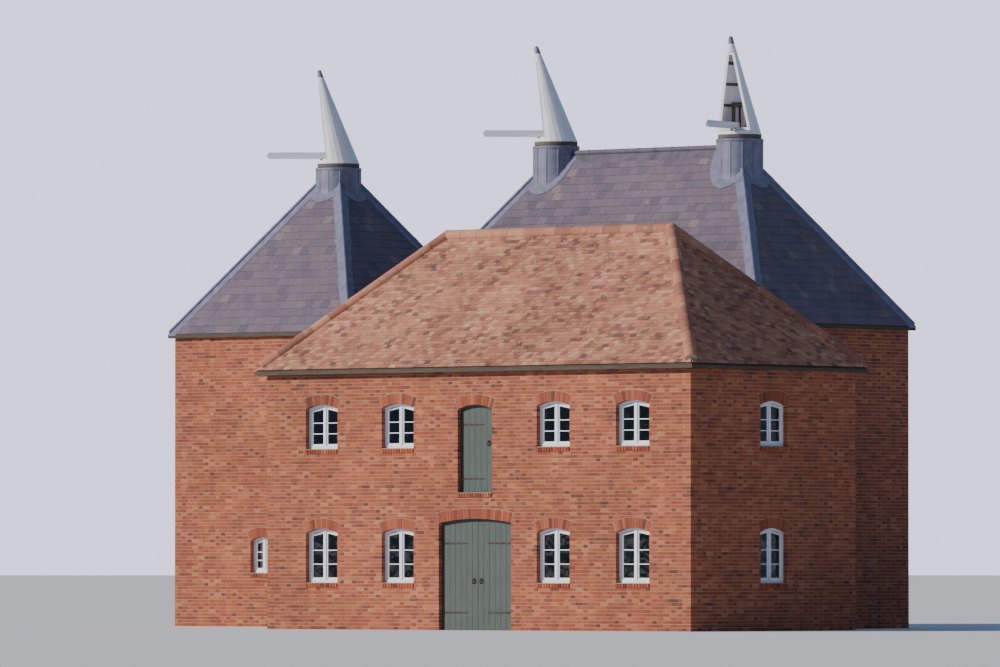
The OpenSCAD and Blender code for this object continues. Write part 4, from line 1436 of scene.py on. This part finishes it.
# %% [markdown]
# ## Boards in a ring
# A cowl is coopered like a cask: narrow upright boards stand side by side in a ring. The ring starts as a
# cone without ends. Each of its faces becomes one board, parted from its neighbours by a hair. It gets its
# thickness inwards, and its long outer edges are planed off, so that a fine groove runs between the boards.

# %% Coopered rings
BOARD_PART = 0.0004
GROOVE = 0.004


def coopered(boards, foot_radius, head_radius, height, thick):
    """A ring of separate boards, standing on z = 0."""
    bm = bmesh.new()
    bmesh.ops.create_cone(bm, cap_ends=False, segments=boards, radius1=foot_radius, radius2=head_radius,
                          depth=height, matrix=Matrix.Translation((0, 0, height / 2)))
    made = bmesh.ops.inset_individual(bm, faces=bm.faces[:], thickness=BOARD_PART, use_even_offset=True)
    bmesh.ops.delete(bm, geom=made["faces"], context="FACES")
    outer = bm.faces[:]
    bmesh.ops.solidify(bm, geom=outer, thickness=thick)
    upright = [edge for face in outer for edge in face.edges
               if abs(edge.verts[0].co.z - edge.verts[1].co.z) > height / 2]
    plane_off(bm, dict.fromkeys(upright), GROOVE)
    return bm


def tint_ring(bm, boards, lean=0.0):
    """Gives every board of a ring its tint. The ring's centre moves by lean for each metre of height."""
    shades = [rows.random() for board in range(boards)]
    layer = tint_layer(bm)
    for vert in bm.verts:
        turn = math.atan2(vert.co.y, vert.co.x - lean * vert.co.z) / math.tau
        vert[layer] = shades[math.floor(turn * boards) % boards]


# %% [markdown]
# ## The curbs under their lead
# The curb is the round collar that the roof rises to. It is boarded, and sheets of lead are dressed over
# the boards, joined by upright welts. More lead lies round its foot as an apron that follows the four
# slopes and the hips between them. A profile is spun round the curb, and whatever stands at its foot is
# then let down onto the roof, whose height is known over every point of the plan.

# %% Spun profiles
CURB_STEPS = 72


def spun(bm, axis, profile):
    """Spins a profile of points (radius, height, hangs on the roof) round an axis. Returns the faces."""
    before = set(bm.faces)
    layer = bm.verts.layers.int.get("let_down") or bm.verts.layers.int.new("let_down")
    verts = [bm.verts.new((axis.x + radius, axis.y, height)) for radius, height, hangs in profile]
    for vert, (radius, height, hangs) in zip(verts, profile):
        vert[layer] = hangs
    edges = [bm.edges.new(pair) for pair in zip(verts, verts[1:])]
    bmesh.ops.spin(bm, geom=verts + edges, cent=(axis.x, axis.y, 0), axis=(0, 0, 1), angle=math.tau,
                   steps=CURB_STEPS, use_merge=True)
    return [face for face in bm.faces if face not in before]


def let_down(bm, roof, verts):
    """Drops the marked points from the height that they have above the roof onto the roof itself."""
    layer = bm.verts.layers.int["let_down"]
    for vert in verts:
        if vert[layer]:
            vert.co.z += roof.surface(vert.co.x, vert.co.y)


# %% Skin, apron and welts
CURB_SKIN = 0.004
CURB_SUNK = 0.03
LIP_WIDTH = 0.018
LIP_HEIGHT = 0.05
APRON_OUT = 0.14
APRON_THICK = 0.003
SLATE_CLEAR = 0.040
WELTS = 12
WELT_RADIUS = 0.012


def curb_skin(bm, roof, axis, top):
    """The skin with a lip at its top, and the apron round its foot."""
    skin = curb_radius + CURB_SKIN
    lip = skin + LIP_WIDTH
    wall = [(skin, -CURB_SUNK, 1), (skin, top - LIP_HEIGHT, 0), (lip, top - LIP_HEIGHT, 0), (lip, top, 0),
            (skin - LIP_WIDTH, top + CURB_SKIN, 0)]
    apron = [(skin + APRON_THICK, 3 * SLATE_CLEAR, 1), (skin + 2 * APRON_THICK, SLATE_CLEAR, 1),
             (skin + APRON_OUT, SLATE_CLEAR, 1)]
    for profile in (wall, apron):
        faces = spun(bm, axis, profile)
        let_down(bm, roof, {vert for face in faces for vert in face.verts})
        bmesh.ops.recalc_face_normals(bm, faces=faces)
        bmesh.ops.solidify(bm, geom=faces, thickness=APRON_THICK)


def curb_welts(bm, roof, axis, top):
    """Upright rolls where two sheets of the curb's lead are folded together."""
    for index in range(WELTS):
        turn = (index + 0.5) * math.tau / WELTS
        spot = axis + (curb_radius + CURB_SKIN) * Vector((math.cos(turn), math.sin(turn), 0))
        foot = roof.surface(spot.x, spot.y)
        height = top - LIP_HEIGHT - foot
        middle = foot + height / 2
        verts = bar(bm, Matrix.Translation((spot.x, spot.y, middle)), height, WELT_RADIUS, segments=12)
        edges = dict.fromkeys(edge for vert in verts for edge in vert.link_edges)
        heads = [edge for edge in edges if all(vert.co.z > middle for vert in edge.verts)]
        plane_off(bm, heads, WELT_RADIUS / 2, segments=2)


# %% Lead on the three curbs
for name, roof, letters, curb in (("single_kiln", single_roof, "a", "single_kiln_curb"),
                                  ("double_kiln", double_roof, "bc", "double_kiln_curbs")):
    skin_bm, welt_bm = bmesh.new(), bmesh.new()
    for letter in letters:
        curb_skin(skin_bm, roof, axes_of_cowls[letter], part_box(curb)[1].z)
        curb_welts(welt_bm, roof, axes_of_cowls[letter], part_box(curb)[1].z)
    soften(skin_bm)
    soften(welt_bm)
    add_piece(skin_bm, name + "_curb_lead", sheet_lead, "lead")
    add_piece(welt_bm, name + "_curb_welts", sheet_lead, "lead")

# %% [markdown]
# ## The cowls
# A cowl is a leaning cone of tapered boards. One side of it stands upright and is open, so that the hot air
# leaves away from the wind, and the board called a finger turns it. All three are alike, so one class reads
# the sizes and the heading of each from the frame, and one set of makers builds them in the cowl's own
# axes.

# %% Shape of a cowl
MOUTH_SETBACK = 0.25
MOUTH_SILL = 0.09
MOUTH_LEAN = math.radians(6)
MOUTH_HEIGHT = 1.70


class Cowl:
    """Sizes of one cowl, from the frame. Its own axes stand on the boards' foot, x out of the mouth."""

    def __init__(self, letter):
        self.letter = letter
        self.body = f"cowl_{letter}_turning"
        axis = axes_of_cowls[letter]
        points = [vert.co for vert in nodes[f"cowl_{letter}"].data.vertices]
        self.boards_foot = min(p.z for p in points)
        self.height = max(p.z for p in points) - self.boards_foot
        self.radius = max((p.xy - axis.xy).length for p in points if p.z < self.boards_foot + 0.01)
        tip = [p for p in points if p.z > self.boards_foot + self.height - 0.01]
        middle = sum((p.xy for p in tip), Vector((0, 0))) / len(tip)
        self.tip_radius = max((p.xy - middle).length for p in tip)
        finger = [vert.co.xy - axis.xy for vert in nodes[f"finger_{letter}"].data.vertices]
        pointing = sum(finger, Vector((0, 0)))
        self.heading = math.atan2(pointing.y, pointing.x)
        foot = Matrix.Translation((axis.x, axis.y, self.boards_foot))
        self.matrix = foot @ Matrix.Rotation(self.heading, 4, "Z")
        self.lean = (self.radius - self.tip_radius) / self.height
        self.shear = Matrix(((1, 0, self.lean, 0), (0, 1, 0, 0), (0, 0, 1, 0), (0, 0, 0, 1)))
        sill = Matrix.Translation((MOUTH_SETBACK, 0, MOUTH_SILL))
        self.mouth = sill @ Matrix.Rotation(MOUTH_LEAN, 4, "Y")

    def radius_at(self, z):
        return self.radius - self.lean * z

    def mouth_half_width(self, up):
        """Half of the mouth's width at a distance up along its lean."""
        point = self.mouth @ Vector((0, 0, up))
        across = point.x - self.lean * point.z
        return math.sqrt(max(0.0, self.radius_at(point.z) ** 2 - across ** 2))


cowls = [Cowl(letter) for letter in "abc"]
for cowl in cowls:
    print(f"cowl {cowl.letter}: {cowl.height:.2f} m of boards, tip {cowl.tip_radius * 1000:.0f} mm, "
          f"turned to {math.degrees(cowl.heading) % 360:.0f} degrees")

# %% [markdown]
# ### Boards and hoops
# The cone is coopered upright first, then sheared, which keeps one line of it plumb. A boolean saws the
# mouth out of the boards and of the hoops that hold them, because a saw is what the carpenter used, and it
# leaves every board closed.

# %% A saw for the mouth


def saw_mouth(cowl, bm):
    """Saws the mouth out of a bmesh in the cowl's own axes, and returns what is left."""
    saw_bm = bmesh.new()
    size = 2 * cowl.radius
    middle = Matrix.Translation((size / 2, 0, MOUTH_HEIGHT / 2))
    shape = middle @ Matrix.Diagonal((size, size, MOUTH_HEIGHT, 1))
    bmesh.ops.create_cube(saw_bm, size=1, matrix=cowl.mouth @ shape)
    saw = new_object(saw_bm, "saw")
    whole = new_object(bm, "whole")
    cut = whole.modifiers.new("mouth", "BOOLEAN")
    cut.operation, cut.solver, cut.object = "DIFFERENCE", "MANIFOLD", saw
    sawn = bmesh.new()
    take(sawn, bpy.data.meshes.new_from_object(whole.evaluated_get(bpy.context.evaluated_depsgraph_get())))
    bpy.data.objects.remove(saw)
    bpy.data.objects.remove(whole)
    return sawn


# %% Boards and hoops
COWL_BOARDS = 24
BOARD_THICK = 0.02
CAP_PROUD = 0.004
HOOPS = (0.62, 1.07, 1.52)
HOOP_HEIGHT = 0.06
HOOP_THICK = 0.022
HOOP_CLEAR = 0.001


def cowl_boards(cowl):
    height = cowl.height - CAP_PROUD
    bm = coopered(COWL_BOARDS, cowl.radius, cowl.radius_at(height), height, BOARD_THICK)
    bmesh.ops.transform(bm, matrix=cowl.shear, verts=bm.verts)
    sawn = saw_mouth(cowl, bm)
    tint_ring(sawn, COWL_BOARDS, cowl.lean)
    return sawn


def cowl_hoops(cowl):
    bm = bmesh.new()
    for z in HOOPS:
        low, high = (cowl.radius_at(z + up) - BOARD_THICK - HOOP_CLEAR for up in (0, HOOP_HEIGHT))
        bmesh.ops.create_cone(bm, cap_ends=False, segments=48, radius1=low, radius2=high, depth=HOOP_HEIGHT,
                              matrix=cowl.shear @ Matrix.Translation((0, 0, z + HOOP_HEIGHT / 2)))
    bmesh.ops.solidify(bm, geom=bm.faces[:], thickness=HOOP_THICK)
    sawn = saw_mouth(cowl, bm)
    soften(sawn)
    return sawn


# %% [markdown]
# ### Cap and facing
# Lead is dressed over the tip, where the boards' ends would rot. Flat boards face the edge of the mouth:
# its outline is one face, inset by the width of the boards, and the rim that this leaves is extruded
# outwards.

# %% Cap and facing
CAP_HEIGHT = 0.16
FACING_WIDTH = 0.06
FACING_THICK = 0.022
FACING_STEPS = 10
FACING_TINT = 0.9


def cowl_cap(cowl):
    bm = bmesh.new()
    middle = cowl.height - CAP_HEIGHT / 2
    low, high = cowl.radius_at(cowl.height - CAP_HEIGHT) + CAP_PROUD, cowl.tip_radius + CAP_PROUD
    bar(bm, cowl.shear @ Matrix.Translation((0, 0, middle)), CAP_HEIGHT, low, high)
    foot_ring = [edge for edge in bm.edges if all(vert.co.z < middle for vert in edge.verts)]
    plane_off(bm, foot_ring, CAP_PROUD / 2)
    soften(bm)
    return bm


def cowl_facing(cowl):
    """Boards round the mouth: its outline, inset by their width and thickened outwards."""
    bm = bmesh.new()
    ups = [step * MOUTH_HEIGHT / FACING_STEPS for step in range(FACING_STEPS + 1)]
    outline = [(0, cowl.mouth_half_width(up), up) for up in ups]
    outline += [(0, -across, up) for plane, across, up in reversed(outline)]
    face = bm.faces.new([bm.verts.new(point) for point in outline])
    face.normal_update()
    rim = bmesh.ops.inset_region(bm, faces=[face], thickness=FACING_WIDTH, use_boundary=True,
                                 use_even_offset=True)["faces"]
    bmesh.ops.delete(bm, geom=[face], context="FACES_ONLY")
    made = bmesh.ops.extrude_face_region(bm, geom=rim)
    bmesh.ops.translate(bm, vec=(FACING_THICK, 0, 0), verts=points_of(made))
    bmesh.ops.recalc_face_normals(bm, faces=bm.faces)
    bmesh.ops.transform(bm, matrix=cowl.mouth, verts=bm.verts)
    layer = tint_layer(bm)
    for vert in bm.verts:
        vert[layer] = FACING_TINT
    return bm


# %% [markdown]
# ### Cowls on their turning frames
# Each piece rides on its own cowl, and the boards replace the frame's plain cone. The finger is painted
# along its length, whichever way it points. A pattern on one solid can't follow each of its timbers, so the
# oak of the turning frame gets upright grain between the heights where only posts stand.

# %% Make the three cowls
TURNING_RING = 0.08
HEAD_BAR = 0.09
COWL_PARTS = (("boards", cowl_boards, white_boards, "white_boards"),
              ("hoops", cowl_hoops, oak_beams, "oak"),
              ("cap", cowl_cap, sheet_lead, "lead"),
              ("facing", cowl_facing, white_boards, "white_boards"))

for cowl in cowls:
    for part, maker, material, slot in COWL_PARTS:
        bm = maker(cowl)
        bmesh.ops.transform(bm, matrix=cowl.matrix, verts=bm.verts)
        piece = add_piece(bm, f"cowl_{cowl.letter}_{part}", material, slot, cowl.body)
        if part == "boards":
            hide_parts(f"cowl_{cowl.letter}")
    painted = white_paint_finish(f"white_finger_{cowl.letter}", (0.08, 1, 1), cowl.heading)
    nodes[f"finger_{cowl.letter}"].data.materials[0] = painted
    frame_low, frame_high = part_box(f"cowl_{cowl.letter}_frame")
    posts = (frame_low.z + TURNING_RING, frame_high.z - HEAD_BAR)
    jointed = timber_finish(f"oak_frame_{cowl.letter}", *OAK, posts)
    nodes[f"cowl_{cowl.letter}_frame"].data.materials[0] = jointed

# %% [markdown]
# ### What a cowl turns on
# An oak beam spans each curb, and an iron spindle stands on it with a plate bolted to the beam. In the
# frame beam and spindle are one solid, so two pieces replace it, and each gets its own finish.

# %% Beams and spindles
PLATE_SIDE = 0.15
PLATE_THICK = 0.012
PLATE_EDGE = 0.002
PLATE_BOLT = 0.012
BEAM_EDGE = 0.006


def spindle_sizes(points, axis):
    """Half length, half width, foot and top of the beam, then radius and top of the spindle on it."""
    beam = [p for p in points if (p.xy - axis.xy).length > PLATE_SIDE]
    half_width = max(abs(p.y - axis.y) for p in beam)
    half_length = max(abs(p.x - axis.x) for p in beam if abs(p.y - axis.y) > half_width - 1e-3)
    foot, top = min(p.z for p in beam), max(p.z for p in beam)
    spindle = [p for p in points if p.z > top + 1e-3]
    radius, tip = max((p.xy - axis.xy).length for p in spindle), max(p.z for p in spindle)
    return half_length, half_width, foot, top, radius, tip


def spindle_plate(bm, at_axis, half_width, top):
    """The plate on the beam, with a bolt in each corner."""
    half = PLATE_SIDE / 2
    side = min(half, half_width)
    block(bm, (-half, -side, top), (half, side, top + PLATE_THICK), at_axis, edge=PLATE_EDGE)
    for x, y in CORNERS:
        spot = (x * (half - 2 * PLATE_BOLT), y * (side - 2 * PLATE_BOLT), top + 1.5 * PLATE_THICK)
        bar(bm, at_axis @ Matrix.Translation(spot), PLATE_THICK, PLATE_BOLT, segments=6)


beam_bm, iron_bm = bmesh.new(), bmesh.new()
for points in islands("spindles"):
    axis = min(axes_of_cowls.values(), key=lambda spot: (spot.xy - points[0].xy).length)
    half_length, half_width, foot, top, radius, tip = spindle_sizes(points, axis)
    at_axis = Matrix.Translation((axis.x, axis.y, 0))
    low, high = (-half_length, -half_width, foot), (half_length, half_width, top)
    block(beam_bm, low, high, at_axis, edge=BEAM_EDGE)
    bar(iron_bm, at_axis @ Matrix.Translation((0, 0, (tip + top) / 2)), tip - top, radius)
    spindle_plate(iron_bm, at_axis, half_width, top)
    print(f"beam {2 * half_length:.2f} m, spindle {2000 * radius:.0f} mm thick, {tip - top:.2f} m high")
soften(iron_bm)
beams = add_piece(beam_bm, "spindle_beams", oak_beams, "oak")
add_piece(iron_bm, "spindle_irons", black_iron, "iron")
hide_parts("spindles")

# %% [markdown]
# ## Sashes
# Each window has two lights side by side. A light is a slim sash with two glazing bars across it, so the
# glass is in small panes, as it was made. The head of a sash follows the arch, so its top rail is tilted to
# the chord. The bars stand on both sides of the frame's own sheet of glass.

# %% One sash
FRAME_WIDTH = 0.06
SASH_WIDTH = 0.035
SASH_DEEP = (0.022, 0.060)
FOOT_RAIL = 1.3 * SASH_WIDTH
HEAD_LAP = 0.002
BAR_WIDTH = 0.02
BAR_DEEP = (0.028, 0.054)
PANES = 3
SASH_EDGE = 0.003
SASH_TINT = 0.8


def arch_height(hole, x, inset):
    """Height of a line that runs inside an opening's arch, in the axes of its face."""
    radius = hole.radius - inset
    return hole.centre.z + math.sqrt(radius * radius - (x - hole.centre.x) ** 2)


def make_sash(bm, face, hole, left, right):
    """One light: two stiles, a foot rail, a head rail on the chord of the arch, and the bars."""
    front, back = (hole.depth + deep for deep in SASH_DEEP)
    foot = hole.sill + FRAME_WIDTH
    head_left, head_right = (arch_height(hole, x, FRAME_WIDTH) for x in (left, right))
    inner_left, inner_right = left + SASH_WIDTH, right - SASH_WIDTH
    rise = math.atan2(head_right - head_left, right - left)
    length = math.hypot(head_right - head_left, right - left)
    chord = face.matrix @ Matrix.Translation((left, 0, head_left)) @ Matrix.Rotation(-rise, 4, "Y")
    timbers = [(face.matrix, (left, front, foot), (inner_left, back, head_left)),
               (face.matrix, (inner_right, front, foot), (right, back, head_right)),
               (face.matrix, (inner_left, front, foot), (inner_right, back, foot + FOOT_RAIL)),
               (chord, (SASH_WIDTH, front, -SASH_WIDTH), (length - SASH_WIDTH, back, HEAD_LAP))]
    front, back = (hole.depth + deep for deep in BAR_DEEP)
    glass = min(head_left, head_right) - foot - 2 * SASH_WIDTH
    for pane in range(1, PANES):
        z = foot + SASH_WIDTH + pane * glass / PANES
        low, high = (inner_left, front, z - BAR_WIDTH / 2), (inner_right, back, z + BAR_WIDTH / 2)
        timbers.append((face.matrix, low, high))
    for axes, low, high in timbers:
        block(bm, low, high, axes, SASH_TINT, SASH_EDGE)


# %% Sashes in every window


def openings(door):
    """Every face with an opening in it, windows or doors."""
    return [(face, hole) for faces in ELEVATIONS.values() for face in faces
            for hole in face.openings if hole.door == door]


bm = bmesh.new()
for face, hole in openings(door=False):
    middle = hole.centre.x
    make_sash(bm, face, hole, hole.left + FRAME_WIDTH, middle - FRAME_WIDTH / 2)
    make_sash(bm, face, hole, middle + FRAME_WIDTH / 2, hole.right - FRAME_WIDTH)
add_piece(bm, "window_sashes", white_boards, "white_boards")
print(f"{2 * len(openings(door=False))} sashes")

# %% [markdown]
# ## Plank doors
# The leaves of the doors are read from the frame. Each becomes a row of planks with a groove between them,
# cut to the arch at the top, and held together at the back by ledges.

# %% Leaves from the frame
LEAF_DEPTH = 0.1


class Leaf:
    """One leaf of a door in the axes of its wall, with the side of its hinges: -1 left, 1 right."""

    def __init__(self, face, hole, low, high):
        self.face, self.hole, self.low, self.high = face, hole, low, high
        to_left, to_right = low.x - hole.left, hole.right - high.x
        self.inset = min(to_left, to_right)
        self.hinge = -1 if to_left <= to_right + 1e-3 else 1
        self.width, self.tall = high.x - low.x, high.z - low.z

    def head(self, x):
        return arch_height(self.hole, x, self.inset)


def find_leaves():
    """The islands of the doors' node that stand in a doorway, as deep in the wall as its frame."""
    found = []
    for face, hole in openings(door=True):
        for points in islands("doors"):
            low, high = box_of(points, face.matrix)
            between = hole.left < low.x and high.x < hole.right
            level = hole.sill < high.z < hole.crown
            if between and level and abs(low.y - hole.depth) < LEAF_DEPTH:
                found.append(Leaf(face, hole, low, high))
    return found


leaves = find_leaves()
print(f"{len(leaves)} door leaves")

# %% Planks and ledges
PLANK = 0.15
PLANK_EDGE = 0.004
STRAP_SHARES = (0.16, 0.80)
LEDGE_HEIGHT = 0.14
LEDGE_THICK = 0.028
LEDGE_SHORT = 0.03
LEDGE_TINT = 0.3


def plank_leaf(bm, leaf):
    """A row of planks, each with its head cut along the arch."""
    count = round(leaf.width / PLANK)
    for index in range(count):
        left, right = (leaf.low.x + (index + step) * leaf.width / count for step in (0, 1))
        top = leaf.head((left + right) / 2)
        low, high = (left + BOARD_PART, leaf.low.y, leaf.low.z), (right - BOARD_PART, leaf.high.y, top)
        verts = block(bm, low, high, None, rows.random(), PLANK_EDGE)
        for vert in verts:
            if vert.co.z > top - 2 * PLANK_EDGE:
                vert.co.z += leaf.head(vert.co.x) - top
        bmesh.ops.transform(bm, matrix=leaf.face.matrix, verts=verts)


def strap_heights(leaf):
    return [leaf.low.z + share * leaf.tall for share in STRAP_SHARES]


def ledges(bm, leaf):
    """The boards across the back of the planks."""
    for z in strap_heights(leaf):
        low = (leaf.low.x + LEDGE_SHORT, leaf.high.y, z - LEDGE_HEIGHT / 2)
        high = (leaf.high.x - LEDGE_SHORT, leaf.high.y + LEDGE_THICK, z + LEDGE_HEIGHT / 2)
        block(bm, low, high, leaf.face.matrix, LEDGE_TINT, PLANK_EDGE)


# %% [markdown]
# ### Door iron
# Long straps run across the planks from the hinge, with a bolt for about every plank, and a ring lifts the
# latch. The strap is a block whose far end is drawn in. The ring is a small circle, spun in its own plane
# round the ring's middle, which leaves it flat.

# %% Straps
STRAP_HEIGHT = 0.045
STRAP_THICK = 0.006
STRAP_REACH = 0.72
STRAP_TAPER = 0.55
KNUCKLE_RADIUS = 0.013
KNUCKLE_OUT = 0.010
BOLT_RADIUS = 0.011
BOLT_HIGH = 0.010
BOLT_SUNK = 0.001


def straps(bm, leaf):
    """Two straps, tapered towards their ends, each with a knuckle on its pin and a row of bolts."""
    hinge_x = leaf.low.x if leaf.hinge < 0 else leaf.high.x
    reach = STRAP_REACH * leaf.width
    bolts = round(reach / PLANK)
    for z in strap_heights(leaf):
        spot = Matrix.Translation((hinge_x, leaf.low.y, z))
        axes = leaf.face.matrix @ spot @ Matrix.Diagonal((-leaf.hinge, 1, 1, 1))
        verts = block(bm, (0, -STRAP_THICK, -STRAP_HEIGHT / 2), (reach, 0, STRAP_HEIGHT / 2))
        for vert in verts:
            if vert.co.x > reach / 2:
                vert.co.z *= STRAP_TAPER
        bmesh.ops.transform(bm, matrix=axes, verts=verts)
        pin = axes @ Matrix.Translation((0, -KNUCKLE_OUT, 0))
        bar(bm, pin, 1.4 * STRAP_HEIGHT, KNUCKLE_RADIUS, segments=16)
        for index in range(bolts):
            spot = ((index + 0.5) * reach / bolts, BOLT_SUNK - STRAP_THICK - BOLT_HIGH / 2, 0)
            out = axes @ Matrix.Translation(spot) @ Matrix.Rotation(math.pi / 2, 4, "X")
            bar(bm, out, BOLT_HIGH, BOLT_RADIUS, 0.6 * BOLT_RADIUS, segments=10)


# %% Latches
LATCH_HEIGHT = 1.05
LATCH_IN = 0.10
LATCH_PLATE = Vector((0.03, 0.006, 0.05))
LATCH_EDGE = 0.002
RING_RADIUS = 0.045
RING_THICK = 0.007
RING_OUT = 0.018
RING_PIVOT = 0.02


def latch(bm, leaf):
    """A ring that hangs from a plate, near the edge away from the hinges."""
    edge_x = leaf.high.x if leaf.hinge < 0 else leaf.low.x
    spot = (edge_x + leaf.hinge * LATCH_IN, leaf.low.y, leaf.low.z + LATCH_HEIGHT)
    axes = leaf.face.matrix @ Matrix.Translation(spot)
    block(bm, -LATCH_PLATE, (LATCH_PLATE.x, 0, LATCH_PLATE.z), axes, edge=LATCH_EDGE)
    before = set(bm.verts)
    wire = bmesh.ops.create_circle(bm, cap_ends=False, segments=8, radius=RING_THICK,
                                   matrix=Matrix.Translation((RING_RADIUS, 0, 0)))["verts"]
    edges = list(dict.fromkeys(edge for vert in wire for edge in vert.link_edges))
    bmesh.ops.spin(bm, geom=wire + edges, cent=(0, 0, 0), axis=(0, 0, 1), angle=math.tau, steps=24,
                   use_merge=True)
    ring = [vert for vert in bm.verts if vert not in before]
    hung = axes @ Matrix.Translation((0, -RING_OUT, RING_PIVOT - RING_RADIUS))
    bmesh.ops.transform(bm, matrix=hung @ Matrix.Rotation(math.pi / 2, 4, "X"), verts=ring)


# %% Make the doors
plank_bm, iron_bm = bmesh.new(), bmesh.new()
for leaf in leaves:
    plank_leaf(plank_bm, leaf)
    ledges(plank_bm, leaf)
    straps(iron_bm, leaf)
    latch(iron_bm, leaf)
bmesh.ops.recalc_face_normals(iron_bm, faces=iron_bm.faces)
soften(iron_bm)
planks = add_piece(plank_bm, "door_planks", door_paint, "door_paint")
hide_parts("doors")
add_piece(iron_bm, "door_iron", black_iron, "iron")
